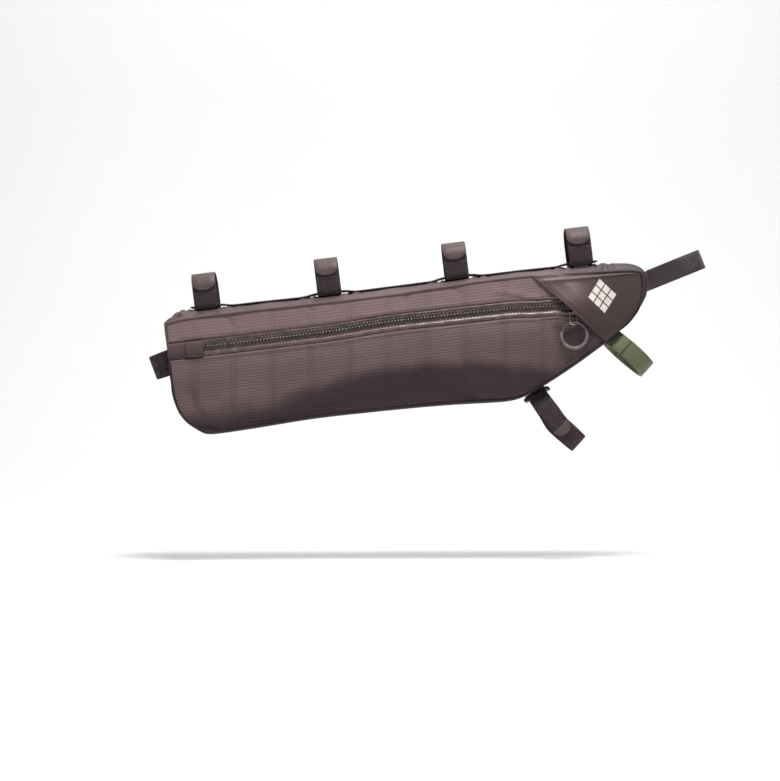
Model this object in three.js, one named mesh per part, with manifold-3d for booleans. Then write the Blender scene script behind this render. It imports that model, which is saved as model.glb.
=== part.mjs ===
// A long, slim frame bag with its strap loops, in millimetres.
// +X runs forward along the bag, +Y away from the zip side, +Z up.
// The origin lies where the bag hangs: on top of the lash webbing, midway between the top straps.
import * as THREE from 'three';
import Module from 'manifold-3d';
import { mergeVertices } from 'three/addons/utils/BufferGeometryUtils.js';

const wasm = await Module();
wasm.setup();

// The bag's overall form
const BAG_LENGTH = 510;
const BAG_DEPTH = 140;
const BAG_WIDTH = 60;
const HANG_SLOPE = 7;
const ORIGIN_AT = 0.4745;

// Cloth
const PANEL_WALL = 1.8;
const GUSSET_WALL = 1.6;
const PATCH_WALL = 1.5;
const GUSSET_RISE = 8.5;
const LOWER_SAG = 3;
const CORNER_SHARP = 8;
const NOSE_SWELL = 1.5;
const REAR_PRESS_CLEAR = 1.25;
const LOWER_PRESS_CLEAR = 0.3;
const GAP = 0.3;

// Zip
const ZIP_ABOVE = 7.6;
const ZIP_BELOW = 10.6;
const TAPE_WALL = 1.2;
const CHAIN_WIDTH = 7.4;
const CHAIN_HEIGHT = 1.8;
const END_TAB_LENGTH = 20;
const END_TAB_WALL = 1.2;
const SLIDER_LENGTH = 11;
const SLIDER_WIDTH = 9.5;
const SLIDER_PLATE = 1.4;
const SLIDER_TUCK = 7.5;
const LUG_HEIGHT = 4.4;
const LUG_WALL = 1.8;
const LUG_BORE = 2.8;
const LINK_WIDTH = 10.5;
const LINK_LENGTH = 15.4;
const LINK_WIRE = 1.6;
const LINK_TURN = 28;
const RING_DIAMETER = 30;
const RING_WIRE = 1.8;
const RING_SLEEVE = 3;

// Patch over the nose end of the zip
const PATCH_TOP_AT = 0.653;
const PATCH_LOW_AT = 0.84;
const PATCH_LAP = 8;
const PATCH_FADE = 12;
const GARAGE_LIFT = 7.9;
const GARAGE_DROP = 4;
const GARAGE_REACH = 16;

// Straps: webbing and the round bores that the loops close on
const STRAP_WALL = 1.6;
const WEBBING_WIDTH = 25;
const WEBBING_WALL = 1.6;
const WEBBING_END = 5;
const TOP_STRAP_WIDTH = 25;
const TOP_BORE = 32;
const TOP_PITCH = 131;
const TOP_SHIFT = 4;
const TOP_PLACES = [-1.53, -0.53, 0.516, 1.5275];
const TAB_ROUND = 7;
const REAR_STRAP_WIDTH = 25;
const REAR_BORE = 31.8;
const REAR_TILT = 13.5;
const REAR_STRAP_AT = 0.66;
const REAR_LAP = 13.5;
const NOSE_STRAP_WIDTH = 21;
const NOSE_BORE = 50;
const NOSE_REACH = 43;
const NOSE_RISE = 15;
const NOSE_STRAP_AT = 0.76;
const ACCENT_STRAP_WIDTH = 19;
const ACCENT_STRAP_AT = 0.862;
const LOWER_BORE = 52;
const LOWER_TILT = 41.3;
const LOWER_LAP = 1.2;
const LOWER_STRAP_WIDTH = 21;
const LOWER_STRAP_RUN = 107.6;
const HOOP_AT = 0.665;
const HOOP_LENGTH = 31;
const HOOP_HEIGHT = 13;
const HOOP_TILT = 18;
const HOOP_WIRE = 2.8;
const CHAPE_WALL = 1;
const CHAPE_WIDTH = 24;

// Facets
const RUN_STEPS = 30;
const RISE_STEPS = 9;

// Cross-sections from the rear end to the nose. Places along the bag are shares of BAG_LENGTH,
// drops are shares of BAG_DEPTH, half widths and bellies of BAG_WIDTH, rise of GUSSET_RISE.
const SECTIONS = [
  { top: 0.004, low: 0.002, corner: 0.047, bow: -0.002, topDrop: 0.111, lowDrop: 0.936, topHalf: 0.415, lowHalf: 0.44, belly: 0.01, rise: 0.5 },
  { top: 0.039, low: 0.039, corner: 0.024, bow: 0, topDrop: 0.093, lowDrop: 0.957, topHalf: 0.385, lowHalf: 0.38, belly: 0.075, rise: 0.98 },
  { top: 0.092, low: 0.092, corner: 0.008, bow: 0, topDrop: 0.09, lowDrop: 0.959, topHalf: 0.35, lowHalf: 0.3, belly: 0.16, rise: 0.9 },
  { top: 0.18, low: 0.18, corner: 0, bow: 0, topDrop: 0.091, lowDrop: 0.95, topHalf: 0.35, lowHalf: 0.285, belly: 0.185, rise: 0.9 },
  { top: 0.278, low: 0.278, corner: 0, bow: 0, topDrop: 0.096, lowDrop: 0.935, topHalf: 0.35, lowHalf: 0.283, belly: 0.195, rise: 0.88 },
  { top: 0.376, low: 0.376, corner: 0, bow: 0, topDrop: 0.1, lowDrop: 0.938, topHalf: 0.35, lowHalf: 0.283, belly: 0.195, rise: 0.9 },
  { top: 0.4745, low: 0.4745, corner: 0, bow: 0, topDrop: 0.101, lowDrop: 0.945, topHalf: 0.35, lowHalf: 0.283, belly: 0.195, rise: 0.93 },
  { top: 0.5725, low: 0.5725, corner: 0, bow: 0, topDrop: 0.091, lowDrop: 0.958, topHalf: 0.35, lowHalf: 0.283, belly: 0.195, rise: 0.8 },
  { top: 0.661, low: 0.651, corner: 0, bow: 0, topDrop: 0.083, lowDrop: 0.978, topHalf: 0.35, lowHalf: 0.283, belly: 0.185, rise: 0.68 },
  { top: 0.729, low: 0.704, corner: 0, bow: 0, topDrop: 0.084, lowDrop: 0.982, topHalf: 0.35, lowHalf: 0.29, belly: 0.17, rise: 0.7 },
  { top: 0.778, low: 0.747, corner: 0, bow: 0, topDrop: 0.088, lowDrop: 0.93, topHalf: 0.345, lowHalf: 0.3, belly: 0.15, rise: 0.72 },
  { top: 0.837, low: 0.806, corner: 0, bow: 0, topDrop: 0.102, lowDrop: 0.83, topHalf: 0.335, lowHalf: 0.37, belly: 0.1, rise: 0.86 },
  { top: 0.896, low: 0.865, corner: 0, bow: 0, topDrop: 0.116, lowDrop: 0.716, topHalf: 0.325, lowHalf: 0.42, belly: 0.065, rise: 0.98 },
  { top: 0.945, low: 0.92, corner: 0, bow: 0, topDrop: 0.127, lowDrop: 0.6, topHalf: 0.31, lowHalf: 0.43, belly: 0.04, rise: 1.08 },
  { top: 0.976, low: 0.949, corner: 0, bow: 0.004, topDrop: 0.138, lowDrop: 0.537, topHalf: 0.3, lowHalf: 0.42, belly: 0.03, rise: 0.95 },
  { top: 0.996, low: 0.965, corner: 0, bow: 0.012, topDrop: 0.157, lowDrop: 0.486, topHalf: 0.29, lowHalf: 0.41, belly: 0.02, rise: 0.6 },
];

// The zip chain's centre line: shares of BAG_LENGTH along and of BAG_DEPTH down
const ZIP_LINE = [
  { at: 0, drop: 0.312 },
  { at: 0.17, drop: 0.315 },
  { at: 0.32, drop: 0.317 },
  { at: 0.4745, drop: 0.299 },
  { at: 0.59, drop: 0.304 },
  { at: 0.7, drop: 0.309 },
  { at: 0.79, drop: 0.331 },
  { at: 0.86, drop: 0.352 },
  { at: 1, drop: 0.4 },
];

const NEAR = new THREE.Vector3(0, -1, 0);
const FAR = NEAR.clone().negate();

function material(color, roughness, metalness = 0) {
  return new THREE.MeshStandardMaterial({ color, roughness, metalness });
}

const FINISHES = {
  ripstop: material(0x5e5452, 0.75),
  coated: material(0x5a504e, 0.5),
  zip: material(0x3a3336, 0.35),
  hook: material(0x2e272b, 0.95),
  webbing: material(0x29242a, 0.85),
  accent: material(0x5d6b45, 0.8),
  steel: material(0xb9b4ad, 0.3, 0.9),
  sleeve: material(0x6f6866, 0.6),
};

// Small numerical helpers
const { degToRad, lerp, smoothstep, clamp } = THREE.MathUtils;
const along = (share) => (share - ORIGIN_AT) * BAG_LENGTH;
const point = (x, near, z) => new THREE.Vector3(x, -near, z);

// Smooth curve through evenly spaced values
function spline(values, share) {
  const place = clamp(share, 0, 1) * (values.length - 1);
  const index = Math.min(Math.floor(place), values.length - 2);
  const k = place - index;
  const value = (i) => values[clamp(i, 0, values.length - 1)];
  const [a, b, c, d] = [value(index - 1), value(index), value(index + 1), value(index + 2)];
  const slopeIn = (c - a) / 2;
  const slopeOut = (d - b) / 2;
  return b + slopeIn * k + (3 * (c - b) - 2 * slopeIn - slopeOut) * k * k
    + (2 * (b - c) + slopeIn + slopeOut) * k * k * k;
}

const COLUMNS = Object.fromEntries(
  Object.keys(SECTIONS[0]).map((name) => [name, SECTIONS.map((row) => row[name])]),
);
const section = (name, run) => spline(COLUMNS[name], run);

// The near side's surface: run goes from the rear (0) to the nose (1), rise from the lower seam (0) to the top seam (1)
function sidePoint(run, rise) {
  const end = lerp(section('low', run), section('top', run), rise);
  const bow = section('bow', run) * 4 * rise * (1 - rise);
  const corner = section('corner', run) * (1 - rise) ** CORNER_SHARP;
  const drop = lerp(section('lowDrop', run), section('topDrop', run), rise);
  const belly = section('belly', run) * Math.sin(Math.PI * rise ** 0.66);
  const half = lerp(section('lowHalf', run), section('topHalf', run), rise) + belly;
  return point(along(end + bow + corner), half * BAG_WIDTH, -drop * BAG_DEPTH);
}

function sideNormal(run, rise) {
  const step = 0.004;
  const forward = sidePoint(Math.min(run + step, 1), rise).sub(sidePoint(Math.max(run - step, 0), rise));
  const up = sidePoint(run, Math.min(rise + step, 1)).sub(sidePoint(run, Math.max(rise - step, 0)));
  return forward.cross(up).normalize();
}

// The run and rise of the surface point that is seen at x and z
function locate(x, z) {
  let run = clamp(x / BAG_LENGTH + ORIGIN_AT, 0.02, 0.98);
  let rise = 0.5;
  const step = 0.002;
  for (let round = 0; round < 14; round++) {
    const here = sidePoint(run, rise);
    const byRun = sidePoint(run + step, rise).sub(here).divideScalar(step);
    const byRise = sidePoint(run, rise + step).sub(here).divideScalar(step);
    const determinant = byRun.x * byRise.z - byRise.x * byRun.z;
    const [dx, dz] = [x - here.x, z - here.z];
    run = clamp(run + (dx * byRise.z - dz * byRise.x) / determinant, 0, 0.997);
    rise = clamp(rise + (byRun.x * dz - byRun.z * dx) / determinant, 0, 0.997);
  }
  return { run, rise };
}

// A point standing proud of the near side's cloth at x and z
function onSide(x, z, proud) {
  const { run, rise } = locate(x, z);
  return sidePoint(run, rise).addScaledVector(sideNormal(run, rise), proud);
}

// Geometry from a grid of triangles, with its faces turned outwards
function closedGeometry(points, triangles) {
  let volume = 0;
  for (const [a, b, c] of triangles) {
    volume += points[a].dot(points[b].clone().cross(points[c]));
  }
  const facing = volume < 0 ? triangles.map(([a, b, c]) => [a, c, b]) : triangles;
  const geometry = new THREE.BufferGeometry();
  geometry.setAttribute('position', new THREE.Float32BufferAttribute(points.flatMap((p) => p.toArray()), 3));
  geometry.setIndex(facing.flat());
  geometry.computeVertexNormals();
  return geometry;
}

// Two triangles for each cell between two rings of vertex numbers
function bridge(ringA, ringB, closed) {
  const triangles = [];
  const count = ringA.length;
  for (let i = 0; i < (closed ? count : count - 1); i++) {
    const j = (i + 1) % count;
    triangles.push([ringA[i], ringA[j], ringB[j]], [ringA[i], ringB[j], ringB[i]]);
  }
  return triangles;
}

// A cloth wall: its outer face is a grid of points, and its inner face lies one wall behind
function cloth(outer, wall, closed, edgeNormal) {
  const runs = outer.length;
  const rises = outer[0].length;
  const at = (i, j) => outer[closed ? (i + runs) % runs : clamp(i, 0, runs - 1)][clamp(j, 0, rises - 1)];
  const points = [];
  const outerIds = [];
  const innerIds = [];
  for (let i = 0; i < runs; i++) {
    outerIds.push([]);
    innerIds.push([]);
    for (let j = 0; j < rises; j++) {
      const normal = edgeNormal(i, j)
        ?? at(i + 1, j).clone().sub(at(i - 1, j)).cross(at(i, j + 1).clone().sub(at(i, j - 1))).normalize();
      outerIds[i].push(points.push(outer[i][j].clone()) - 1);
      innerIds[i].push(points.push(outer[i][j].clone().addScaledVector(normal, -wall)) - 1);
    }
  }
  const triangles = [];
  for (let i = 0; i < (closed ? runs : runs - 1); i++) {
    const next = (i + 1) % runs;
    triangles.push(...bridge(outerIds[i], outerIds[next], false));
    triangles.push(...bridge(innerIds[next], innerIds[i], false));
    for (const [edge, flip] of [[0, false], [rises - 1, true]]) {
      const [a, b] = flip ? [next, i] : [i, next];
      triangles.push(...bridge([outerIds[a][edge], outerIds[b][edge]], [innerIds[a][edge], innerIds[b][edge]], false));
    }
  }
  if (!closed) {
    triangles.push(...bridge(innerIds[0], outerIds[0], false));
    triangles.push(...bridge(outerIds[runs - 1], innerIds[runs - 1], false));
  }
  return closedGeometry(points, triangles);
}

// Webbing along a path. Each station has its centre, the direction across the webbing and a half width.
function ribbon(stations, wall, closed = false) {
  const count = stations.length;
  const at = (i) => stations[closed ? (i + count) % count : clamp(i, 0, count - 1)].at;
  const points = [];
  const rings = stations.map(({ at: centre, across, half }, i) => {
    const facing = at(i + 1).clone().sub(at(i - 1)).cross(across).normalize();
    const corners = [[-1, -1], [1, -1], [1, 1], [-1, 1]];
    return corners.map(([side, face]) => points.push(
      centre.clone().addScaledVector(across, side * half).addScaledVector(facing, face * wall / 2),
    ) - 1);
  });
  const triangles = [];
  for (let i = 0; i < (closed ? count : count - 1); i++) {
    triangles.push(...bridge(rings[i], rings[(i + 1) % count], true));
  }
  if (!closed) {
    const [first, last] = [rings[0], rings[count - 1]];
    triangles.push([first[0], first[2], first[1]], [first[0], first[3], first[2]]);
    triangles.push([last[0], last[1], last[2]], [last[0], last[2], last[3]]);
  }
  return closedGeometry(points, triangles);
}

// A closed loop of round wire in one plane; radius is a function of the share round the loop
function wireLoop(path, axis, radius, sides) {
  const points = [];
  const rings = path.map((centre, i) => {
    const tangent = path[(i + 1) % path.length].clone().sub(path[(i - 1 + path.length) % path.length]).normalize();
    const out = tangent.clone().cross(axis).normalize();
    return Array.from({ length: sides }, (_, k) => {
      const angle = 2 * Math.PI * k / sides;
      const r = radius(i / path.length);
      return points.push(centre.clone()
        .addScaledVector(out, r * Math.cos(angle)).addScaledVector(axis, r * Math.sin(angle))) - 1;
    });
  });
  const triangles = rings.flatMap((ring, i) => bridge(ring, rings[(i + 1) % rings.length], true));
  return closedGeometry(points, triangles);
}

// Cutting and joining
function toSolid(geometry) {
  const bare = geometry.clone();
  bare.deleteAttribute('normal');
  bare.deleteAttribute('uv');
  const merged = mergeVertices(bare, 1e-4);
  return new wasm.Manifold(new wasm.Mesh({
    numProp: 3,
    vertProperties: Float32Array.from(merged.attributes.position.array),
    triVerts: Uint32Array.from(merged.index.array),
  }));
}

function toGeometry(solid) {
  const mesh = solid.getMesh();
  const geometry = new THREE.BufferGeometry();
  geometry.setAttribute('position', new THREE.Float32BufferAttribute(Array.from(mesh.vertProperties), 3));
  geometry.setIndex(Array.from(mesh.triVerts));
  geometry.computeVertexNormals();
  return geometry;
}

// A cutter through the whole width of the bag, from an outline of [x, z] pairs
function through(outline) {
  const shape = new THREE.Shape(outline.map(([x, z]) => new THREE.Vector2(x, z)));
  const geometry = new THREE.ExtrudeGeometry(shape, { depth: 4 * BAG_WIDTH, bevelEnabled: false });
  geometry.rotateX(Math.PI / 2);
  geometry.translate(0, 2 * BAG_WIDTH, 0);
  return toSolid(geometry);
}

// Zip line and patch line
function zipCentre(x) {
  const share = x / BAG_LENGTH + ORIGIN_AT;
  const next = Math.max(1, ZIP_LINE.findIndex((row) => row.at >= Math.min(share, 1)));
  const [a, b] = [ZIP_LINE[next - 1], ZIP_LINE[next]];
  const k = smoothstep(share, a.at, b.at);
  return -BAG_DEPTH * lerp(a.drop, b.drop, k);
}

const patchTop = sidePoint(PATCH_TOP_AT, 1);
const patchLow = sidePoint(PATCH_LOW_AT, 0);
const patchLine = new THREE.Vector2(patchLow.x - patchTop.x, patchLow.z - patchTop.z).normalize();
// Distance past the patch's free edge, towards the nose
const pastPatch = (x, z) => (z - patchTop.z) * patchLine.x - (x - patchTop.x) * patchLine.y;

// Where the zip runs under the patch
const zipEnd = (() => {
  let [low, high] = [patchTop.x, patchLow.x];
  for (let round = 0; round < 40; round++) {
    const middle = (low + high) / 2;
    if (pastPatch(middle, zipCentre(middle)) > 0) high = middle;
    else low = middle;
  }
  return new THREE.Vector2(low, zipCentre(low));
})();

// How far the patch's outer face stands off the side's surface
function patchLift(x, z) {
  const past = pastPatch(x, z);
  const lap = (PATCH_WALL + GAP) * (1 - smoothstep(past, 2 * PATCH_LAP, 2 * PATCH_LAP + PATCH_FADE));
  const reach = Math.hypot(x - zipEnd.x - SLIDER_TUCK, z - zipEnd.y + GARAGE_DROP) / GARAGE_REACH;
  return lap + GARAGE_LIFT * Math.exp(-(reach ** 2));
}

// The whole near or far side as one cloth wall, lifted by a function of x and z
function sideCloth(lift, wall) {
  const edge = (i, j) => (i === 0 || i === RUN_STEPS || j === 0 || j === RISE_STEPS ? NEAR : null);
  const outer = Array.from({ length: RUN_STEPS + 1 }, (_, i) => Array.from({ length: RISE_STEPS + 1 }, (_, j) => {
    const [run, rise] = [i / RUN_STEPS, j / RISE_STEPS];
    const base = sidePoint(run, rise);
    return base.addScaledVector(edge(i, j) ?? sideNormal(run, rise), lift(base.x, base.z));
  }));
  return cloth(outer, wall, false, edge);
}

const OUTSIDE = 2 * BAG_LENGTH;
const ZIP_STEPS = 48;
const zipEdge = (offset) => Array.from({ length: ZIP_STEPS + 1 }, (_, i) => {
  const x = along(lerp(-0.05, 0.95, i / ZIP_STEPS));
  return [x, zipCentre(x) + offset];
});
const beyondPatch = (past) => {
  const start = [patchTop.x - patchLine.y * past, patchTop.z + patchLine.x * past];
  const at = (distance) => [start[0] + patchLine.x * distance, start[1] + patchLine.y * distance];
  return through([at(-OUTSIDE), at(OUTSIDE), [OUTSIDE, -OUTSIDE], [OUTSIDE, OUTSIDE]]);
};

function nearPanels() {
  const side = toSolid(sideCloth(() => 0, PANEL_WALL)).subtract(beyondPatch(PATCH_LAP));
  const upperEdge = zipEdge(ZIP_ABOVE);
  const lowerEdge = zipEdge(-ZIP_BELOW);
  const above = through([...upperEdge, [OUTSIDE, upperEdge.at(-1)[1]], [OUTSIDE, OUTSIDE],
    [-OUTSIDE, OUTSIDE], [-OUTSIDE, upperEdge[0][1]]]);
  const below = through([...lowerEdge, [OUTSIDE, lowerEdge.at(-1)[1]], [OUTSIDE, -OUTSIDE],
    [-OUTSIDE, -OUTSIDE], [-OUTSIDE, lowerEdge[0][1]]]);
  return {
    upper: toGeometry(side.intersect(above)),
    lower: toGeometry(side.intersect(below)),
  };
}

function farPanel() {
  const geometry = sideCloth(() => 0, PANEL_WALL);
  geometry.scale(1, -1, 1);
  geometry.setIndex(Array.from(geometry.index.array).reverse());
  return geometry;
}

function nosePatch() {
  const lifted = toSolid(sideCloth(patchLift, PATCH_WALL));
  return toGeometry(lifted.intersect(beyondPatch(0)));
}

// The round bores that the bag leans on, each with a place on its axis, the axis direction and
// the direction out of the bag, and how much wider than its strap it presses the gusset
function bore(centre, tilt, radius, pressClear) {
  const axis = new THREE.Vector2(Math.cos(degToRad(tilt)), Math.sin(degToRad(tilt)));
  return { centre, axis, out: new THREE.Vector2(axis.y, -axis.x), radius, pressClear };
}

const rearSeam = sidePoint(0, REAR_STRAP_AT);
const rearBore = (() => {
  const turned = bore(new THREE.Vector2(), 90 + REAR_TILT, REAR_BORE / 2, REAR_PRESS_CLEAR);
  turned.out.negate();
  turned.centre.set(rearSeam.x, rearSeam.z).addScaledVector(turned.out, REAR_BORE / 2 - REAR_LAP);
  return turned;
})();
const lowerSeam = sidePoint(ACCENT_STRAP_AT, 0);
const lowerBore = (() => {
  const turned = bore(new THREE.Vector2(), LOWER_TILT, LOWER_BORE / 2, LOWER_PRESS_CLEAR);
  turned.centre.set(lowerSeam.x, lowerSeam.z).addScaledVector(turned.out, LOWER_BORE / 2 - LOWER_LAP);
  return turned;
})();

// The gusset's seam line, once round the side: top edge, nose edge, lower edge, rear edge
const SEAM = [
  ...Array.from({ length: RUN_STEPS }, (_, i) => ({ run: i / RUN_STEPS, rise: 1 })),
  ...Array.from({ length: RISE_STEPS }, (_, i) => ({ run: 1, rise: 1 - i / RISE_STEPS })),
  ...Array.from({ length: RUN_STEPS }, (_, i) => ({ run: 1 - i / RUN_STEPS, rise: 0 })),
  ...Array.from({ length: RISE_STEPS }, (_, i) => ({ run: 0, rise: i / RISE_STEPS })),
].map(({ run, rise }) => {
  const seam = sidePoint(run, rise);
  const top = section('rise', run) * GUSSET_RISE;
  const swell = run === 1 ? NOSE_SWELL * 4 * rise * (1 - rise) : 0;
  return { x: seam.x, z: seam.z, half: -seam.y, crown: lerp(LOWER_SAG, top, rise) + swell };
});
SEAM.forEach((station, i) => {
  const before = SEAM[(i - 1 + SEAM.length) % SEAM.length];
  const after = SEAM[(i + 1) % SEAM.length];
  station.out = new THREE.Vector2(before.z - after.z, after.x - before.x).normalize();
});

// How far the gusset stands out of the seam line, where a bore doesn't press it in
function gussetOut(station, near) {
  const swell = GAP + station.crown * (1 - Math.min(1, Math.abs(near) / station.half) ** 5);
  return [rearBore, lowerBore].reduce((out, held) => {
    const clear = held.radius + STRAP_WALL + 2 * GAP + held.pressClear;
    const facing = station.out.dot(held.out);
    const pressed = smoothstep(facing, 0.6, 0.9)
      * (1 - smoothstep(Math.abs(near), station.half - 5, station.half - 1.5));
    if (Math.abs(near) >= clear || pressed === 0) return out;
    const toAxis = new THREE.Vector2(held.centre.x - station.x, held.centre.y - station.z).dot(held.out);
    return lerp(out, Math.min(out, (toAxis - Math.sqrt(clear ** 2 - near ** 2)) / facing), pressed);
  }, swell);
}

const ACROSS = [-1, -0.88, -0.74, -0.59, -0.32, 0, 0.32, 0.59, 0.74, 0.88, 1];

function gusset() {
  const outer = SEAM.map((station) => ACROSS.map((share) => {
    const near = -share * station.half;
    const out = gussetOut(station, near);
    return point(station.x + station.out.x * out, near, station.z + station.out.y * out);
  }));
  const edge = (i, j) => (j === 0 ? NEAR : j === ACROSS.length - 1 ? FAR : null);
  return cloth(outer, GUSSET_WALL, true, edge);
}

// The bag's outline with the gusset at one distance from the middle plane
function outlineAt(near, clearance) {
  return SEAM.map((station) => {
    const out = gussetOut(station, Math.min(near, station.half)) + clearance;
    return [station.x + station.out.x * out, station.z + station.out.y * out];
  });
}

// Height of the gusset's crown along the top
function crownAt(x) {
  const top = SEAM.slice(0, RUN_STEPS);
  const after = clamp(top.findIndex((station) => station.x > x), 1, RUN_STEPS - 1);
  const [a, b] = [top[after - 1], top[after]];
  const k = (x - a.x) / (b.x - a.x);
  return lerp(a.z + gussetOut(a, 0), b.z + gussetOut(b, 0), k);
}

// Zip parts
function zipRibbon(from, to, width, wall, proud, shift, steps) {
  const stations = Array.from({ length: steps + 1 }, (_, i) => {
    const x = lerp(from, to, i / steps);
    const z = zipCentre(x) + shift;
    const up = onSide(x, z + width / 4, 0).sub(onSide(x, z - width / 4, 0)).normalize();
    return { at: onSide(x, z, proud - wall / 2), across: up, half: width / 2 };
  });
  return ribbon(stations, wall);
}

const zipStart = along(0.012);
const tapeWidth = ZIP_ABOVE + ZIP_BELOW - 4 * GAP;
const chainProud = CHAIN_HEIGHT - PANEL_WALL / 2 + GAP;
const zipTape = () => zipRibbon(zipStart, zipEnd.x + SLIDER_TUCK + PATCH_LAP, tapeWidth, TAPE_WALL, -PANEL_WALL / 2,
  (ZIP_ABOVE - ZIP_BELOW) / 2, 34);
const zipChain = () => zipRibbon(zipStart + END_TAB_LENGTH / 3, zipEnd.x + SLIDER_TUCK + PATCH_LAP / 2, CHAIN_WIDTH,
  CHAIN_HEIGHT, chainProud, 0, 34);
const zipEndTab = () => zipRibbon(zipStart + END_TAB_LENGTH * 0.6, zipStart + END_TAB_LENGTH * 1.6,
  tapeWidth - 3, END_TAB_WALL, chainProud + END_TAB_WALL + GAP, (ZIP_ABOVE - ZIP_BELOW) / 2, 5);

// A local frame on the side's surface: across runs along the zip, up climbs the side, out stands off it
function surfaceFrame(x, z) {
  const { run, rise } = locate(x, z);
  const out = sideNormal(run, rise);
  const across = new THREE.Vector3(1, 0, (zipCentre(x + 2) - zipCentre(x - 2)) / 4)
    .projectOnPlane(out).normalize();
  return { origin: sidePoint(run, rise), across, up: out.clone().cross(across), out };
}

const sliderFrame = surfaceFrame(zipEnd.x + SLIDER_TUCK, zipCentre(zipEnd.x + SLIDER_TUCK));
const sliderFloor = chainProud + GAP;
const lugDepth = sliderFloor + LUG_HEIGHT * 0.55;
const lugDrop = SLIDER_WIDTH / 2 + LUG_BORE * 0.75;

function placed(frame, across, up, out) {
  return frame.origin.clone().addScaledVector(frame.across, across)
    .addScaledVector(frame.up, up).addScaledVector(frame.out, out);
}

function zipSlider() {
  const { across, up, out, origin } = sliderFrame;
  const toFrame = new THREE.Matrix4().makeBasis(across, up, out).setPosition(origin);
  const plateShape = new THREE.Shape();
  const [long, wide] = [SLIDER_LENGTH / 2, SLIDER_WIDTH / 2];
  plateShape.moveTo(-long, -wide * 0.7);
  plateShape.lineTo(long * 0.5, -wide);
  plateShape.quadraticCurveTo(long, -wide, long, 0);
  plateShape.quadraticCurveTo(long, wide, long * 0.5, wide);
  plateShape.lineTo(-long, wide * 0.7);
  const plate = new THREE.ExtrudeGeometry(plateShape, { depth: SLIDER_PLATE, bevelEnabled: false, curveSegments: 3 });
  plate.translate(0, 0, sliderFloor);
  const lugShape = new THREE.Shape();
  lugShape.moveTo(-wide * 0.4, sliderFloor);
  lugShape.lineTo(-wide * 0.4, sliderFloor + SLIDER_PLATE);
  lugShape.lineTo(-lugDrop, sliderFloor + LUG_HEIGHT);
  lugShape.lineTo(-lugDrop - LUG_BORE, sliderFloor + LUG_HEIGHT * 0.6);
  lugShape.lineTo(-lugDrop - LUG_BORE, sliderFloor + LUG_HEIGHT * 0.2);
  lugShape.lineTo(-lugDrop, sliderFloor);
  const hole = new THREE.Path();
  hole.absarc(-lugDrop, lugDepth, LUG_BORE / 2, 0, 2 * Math.PI, true);
  lugShape.holes.push(hole);
  const lug = new THREE.ExtrudeGeometry(lugShape, { depth: LUG_WALL, bevelEnabled: false, curveSegments: 5 });
  lug.applyMatrix4(new THREE.Matrix4().makeBasis(
    new THREE.Vector3(0, 1, 0), new THREE.Vector3(0, 0, 1), new THREE.Vector3(1, 0, 0),
  ).setPosition(-LUG_WALL / 2, 0, 0));
  const joined = toSolid(plate).add(toSolid(lug));
  const geometry = toGeometry(joined);
  geometry.applyMatrix4(toFrame);
  return geometry;
}

// Points of a rounded rectangle round a centre, along two directions
function roundedLoop(centre, right, up, width, height, corner, steps) {
  const [w, h] = [width / 2 - corner, height / 2 - corner];
  return [[1, 1, 0], [-1, 1, 90], [-1, -1, 180], [1, -1, 270]].flatMap(([sideways, upright, start]) => (
    Array.from({ length: steps + 1 }, (_, i) => {
      const angle = degToRad(start + 90 * i / steps);
      return centre.clone().addScaledVector(right, sideways * w + corner * Math.cos(angle))
        .addScaledVector(up, upright * h + corner * Math.sin(angle));
    })
  ));
}

const linkLength = LINK_LENGTH - LINK_WIRE;
const linkCentre = placed(sliderFrame, 0, -lugDrop - linkLength / 2, lugDepth);
const linkSide = sliderFrame.across.clone().applyAxisAngle(sliderFrame.up, degToRad(LINK_TURN));

function pullLink() {
  const path = roundedLoop(linkCentre, linkSide, sliderFrame.up, LINK_WIDTH - LINK_WIRE, linkLength, 3, 3);
  return wireLoop(path, linkSide.clone().cross(sliderFrame.up).normalize(), () => LINK_WIRE / 2, 8);
}

// The pull ring hangs in the link; its lower part carries the thicker sleeve
function pullRing() {
  const radius = (RING_DIAMETER - RING_SLEEVE) / 2;
  const topInLink = linkLength / 2 - LINK_WIRE / 2 - RING_WIRE / 2 - GAP;
  const centre = linkCentre.clone().addScaledVector(sliderFrame.up, -topInLink - radius);
  const steps = 28;
  const path = Array.from({ length: steps }, (_, i) => {
    const angle = 2 * Math.PI * i / steps;
    return centre.clone().addScaledVector(sliderFrame.across, radius * Math.cos(angle))
      .addScaledVector(sliderFrame.up, radius * Math.sin(angle));
  });
  const sleeved = (share) => {
    const height = Math.sin(2 * Math.PI * share);
    return lerp(RING_SLEEVE, RING_WIRE, smoothstep(height, 0.25, 0.4)) / 2;
  };
  return wireLoop(path, sliderFrame.out, sleeved, 8);
}

// Straps. A loop's path is worked out in the plane across its bore: out of the bag, and near.
const arc = (out, near, radius, from, to, steps) => Array.from({ length: steps + 1 }, (_, i) => {
  const angle = degToRad(lerp(from, to, i / steps));
  const r = typeof radius === 'function' ? radius(lerp(from, to, i / steps)) : radius;
  return [out + r * Math.cos(angle), near + r * Math.sin(angle)];
});

// Half widths of a strap whose last stretch ends in a round tab
function tabbed(path, half, round) {
  let left = 0;
  const halves = new Array(path.length).fill(half);
  for (let i = path.length - 1; i >= 0; i--) {
    if (i < path.length - 1) left += path[i].distanceTo(path[i + 1]);
    if (left < round) halves[i] = half * Math.sqrt(1 - (1 - Math.max(left, round * 0.1) / round) ** 2);
  }
  return halves;
}

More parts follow.
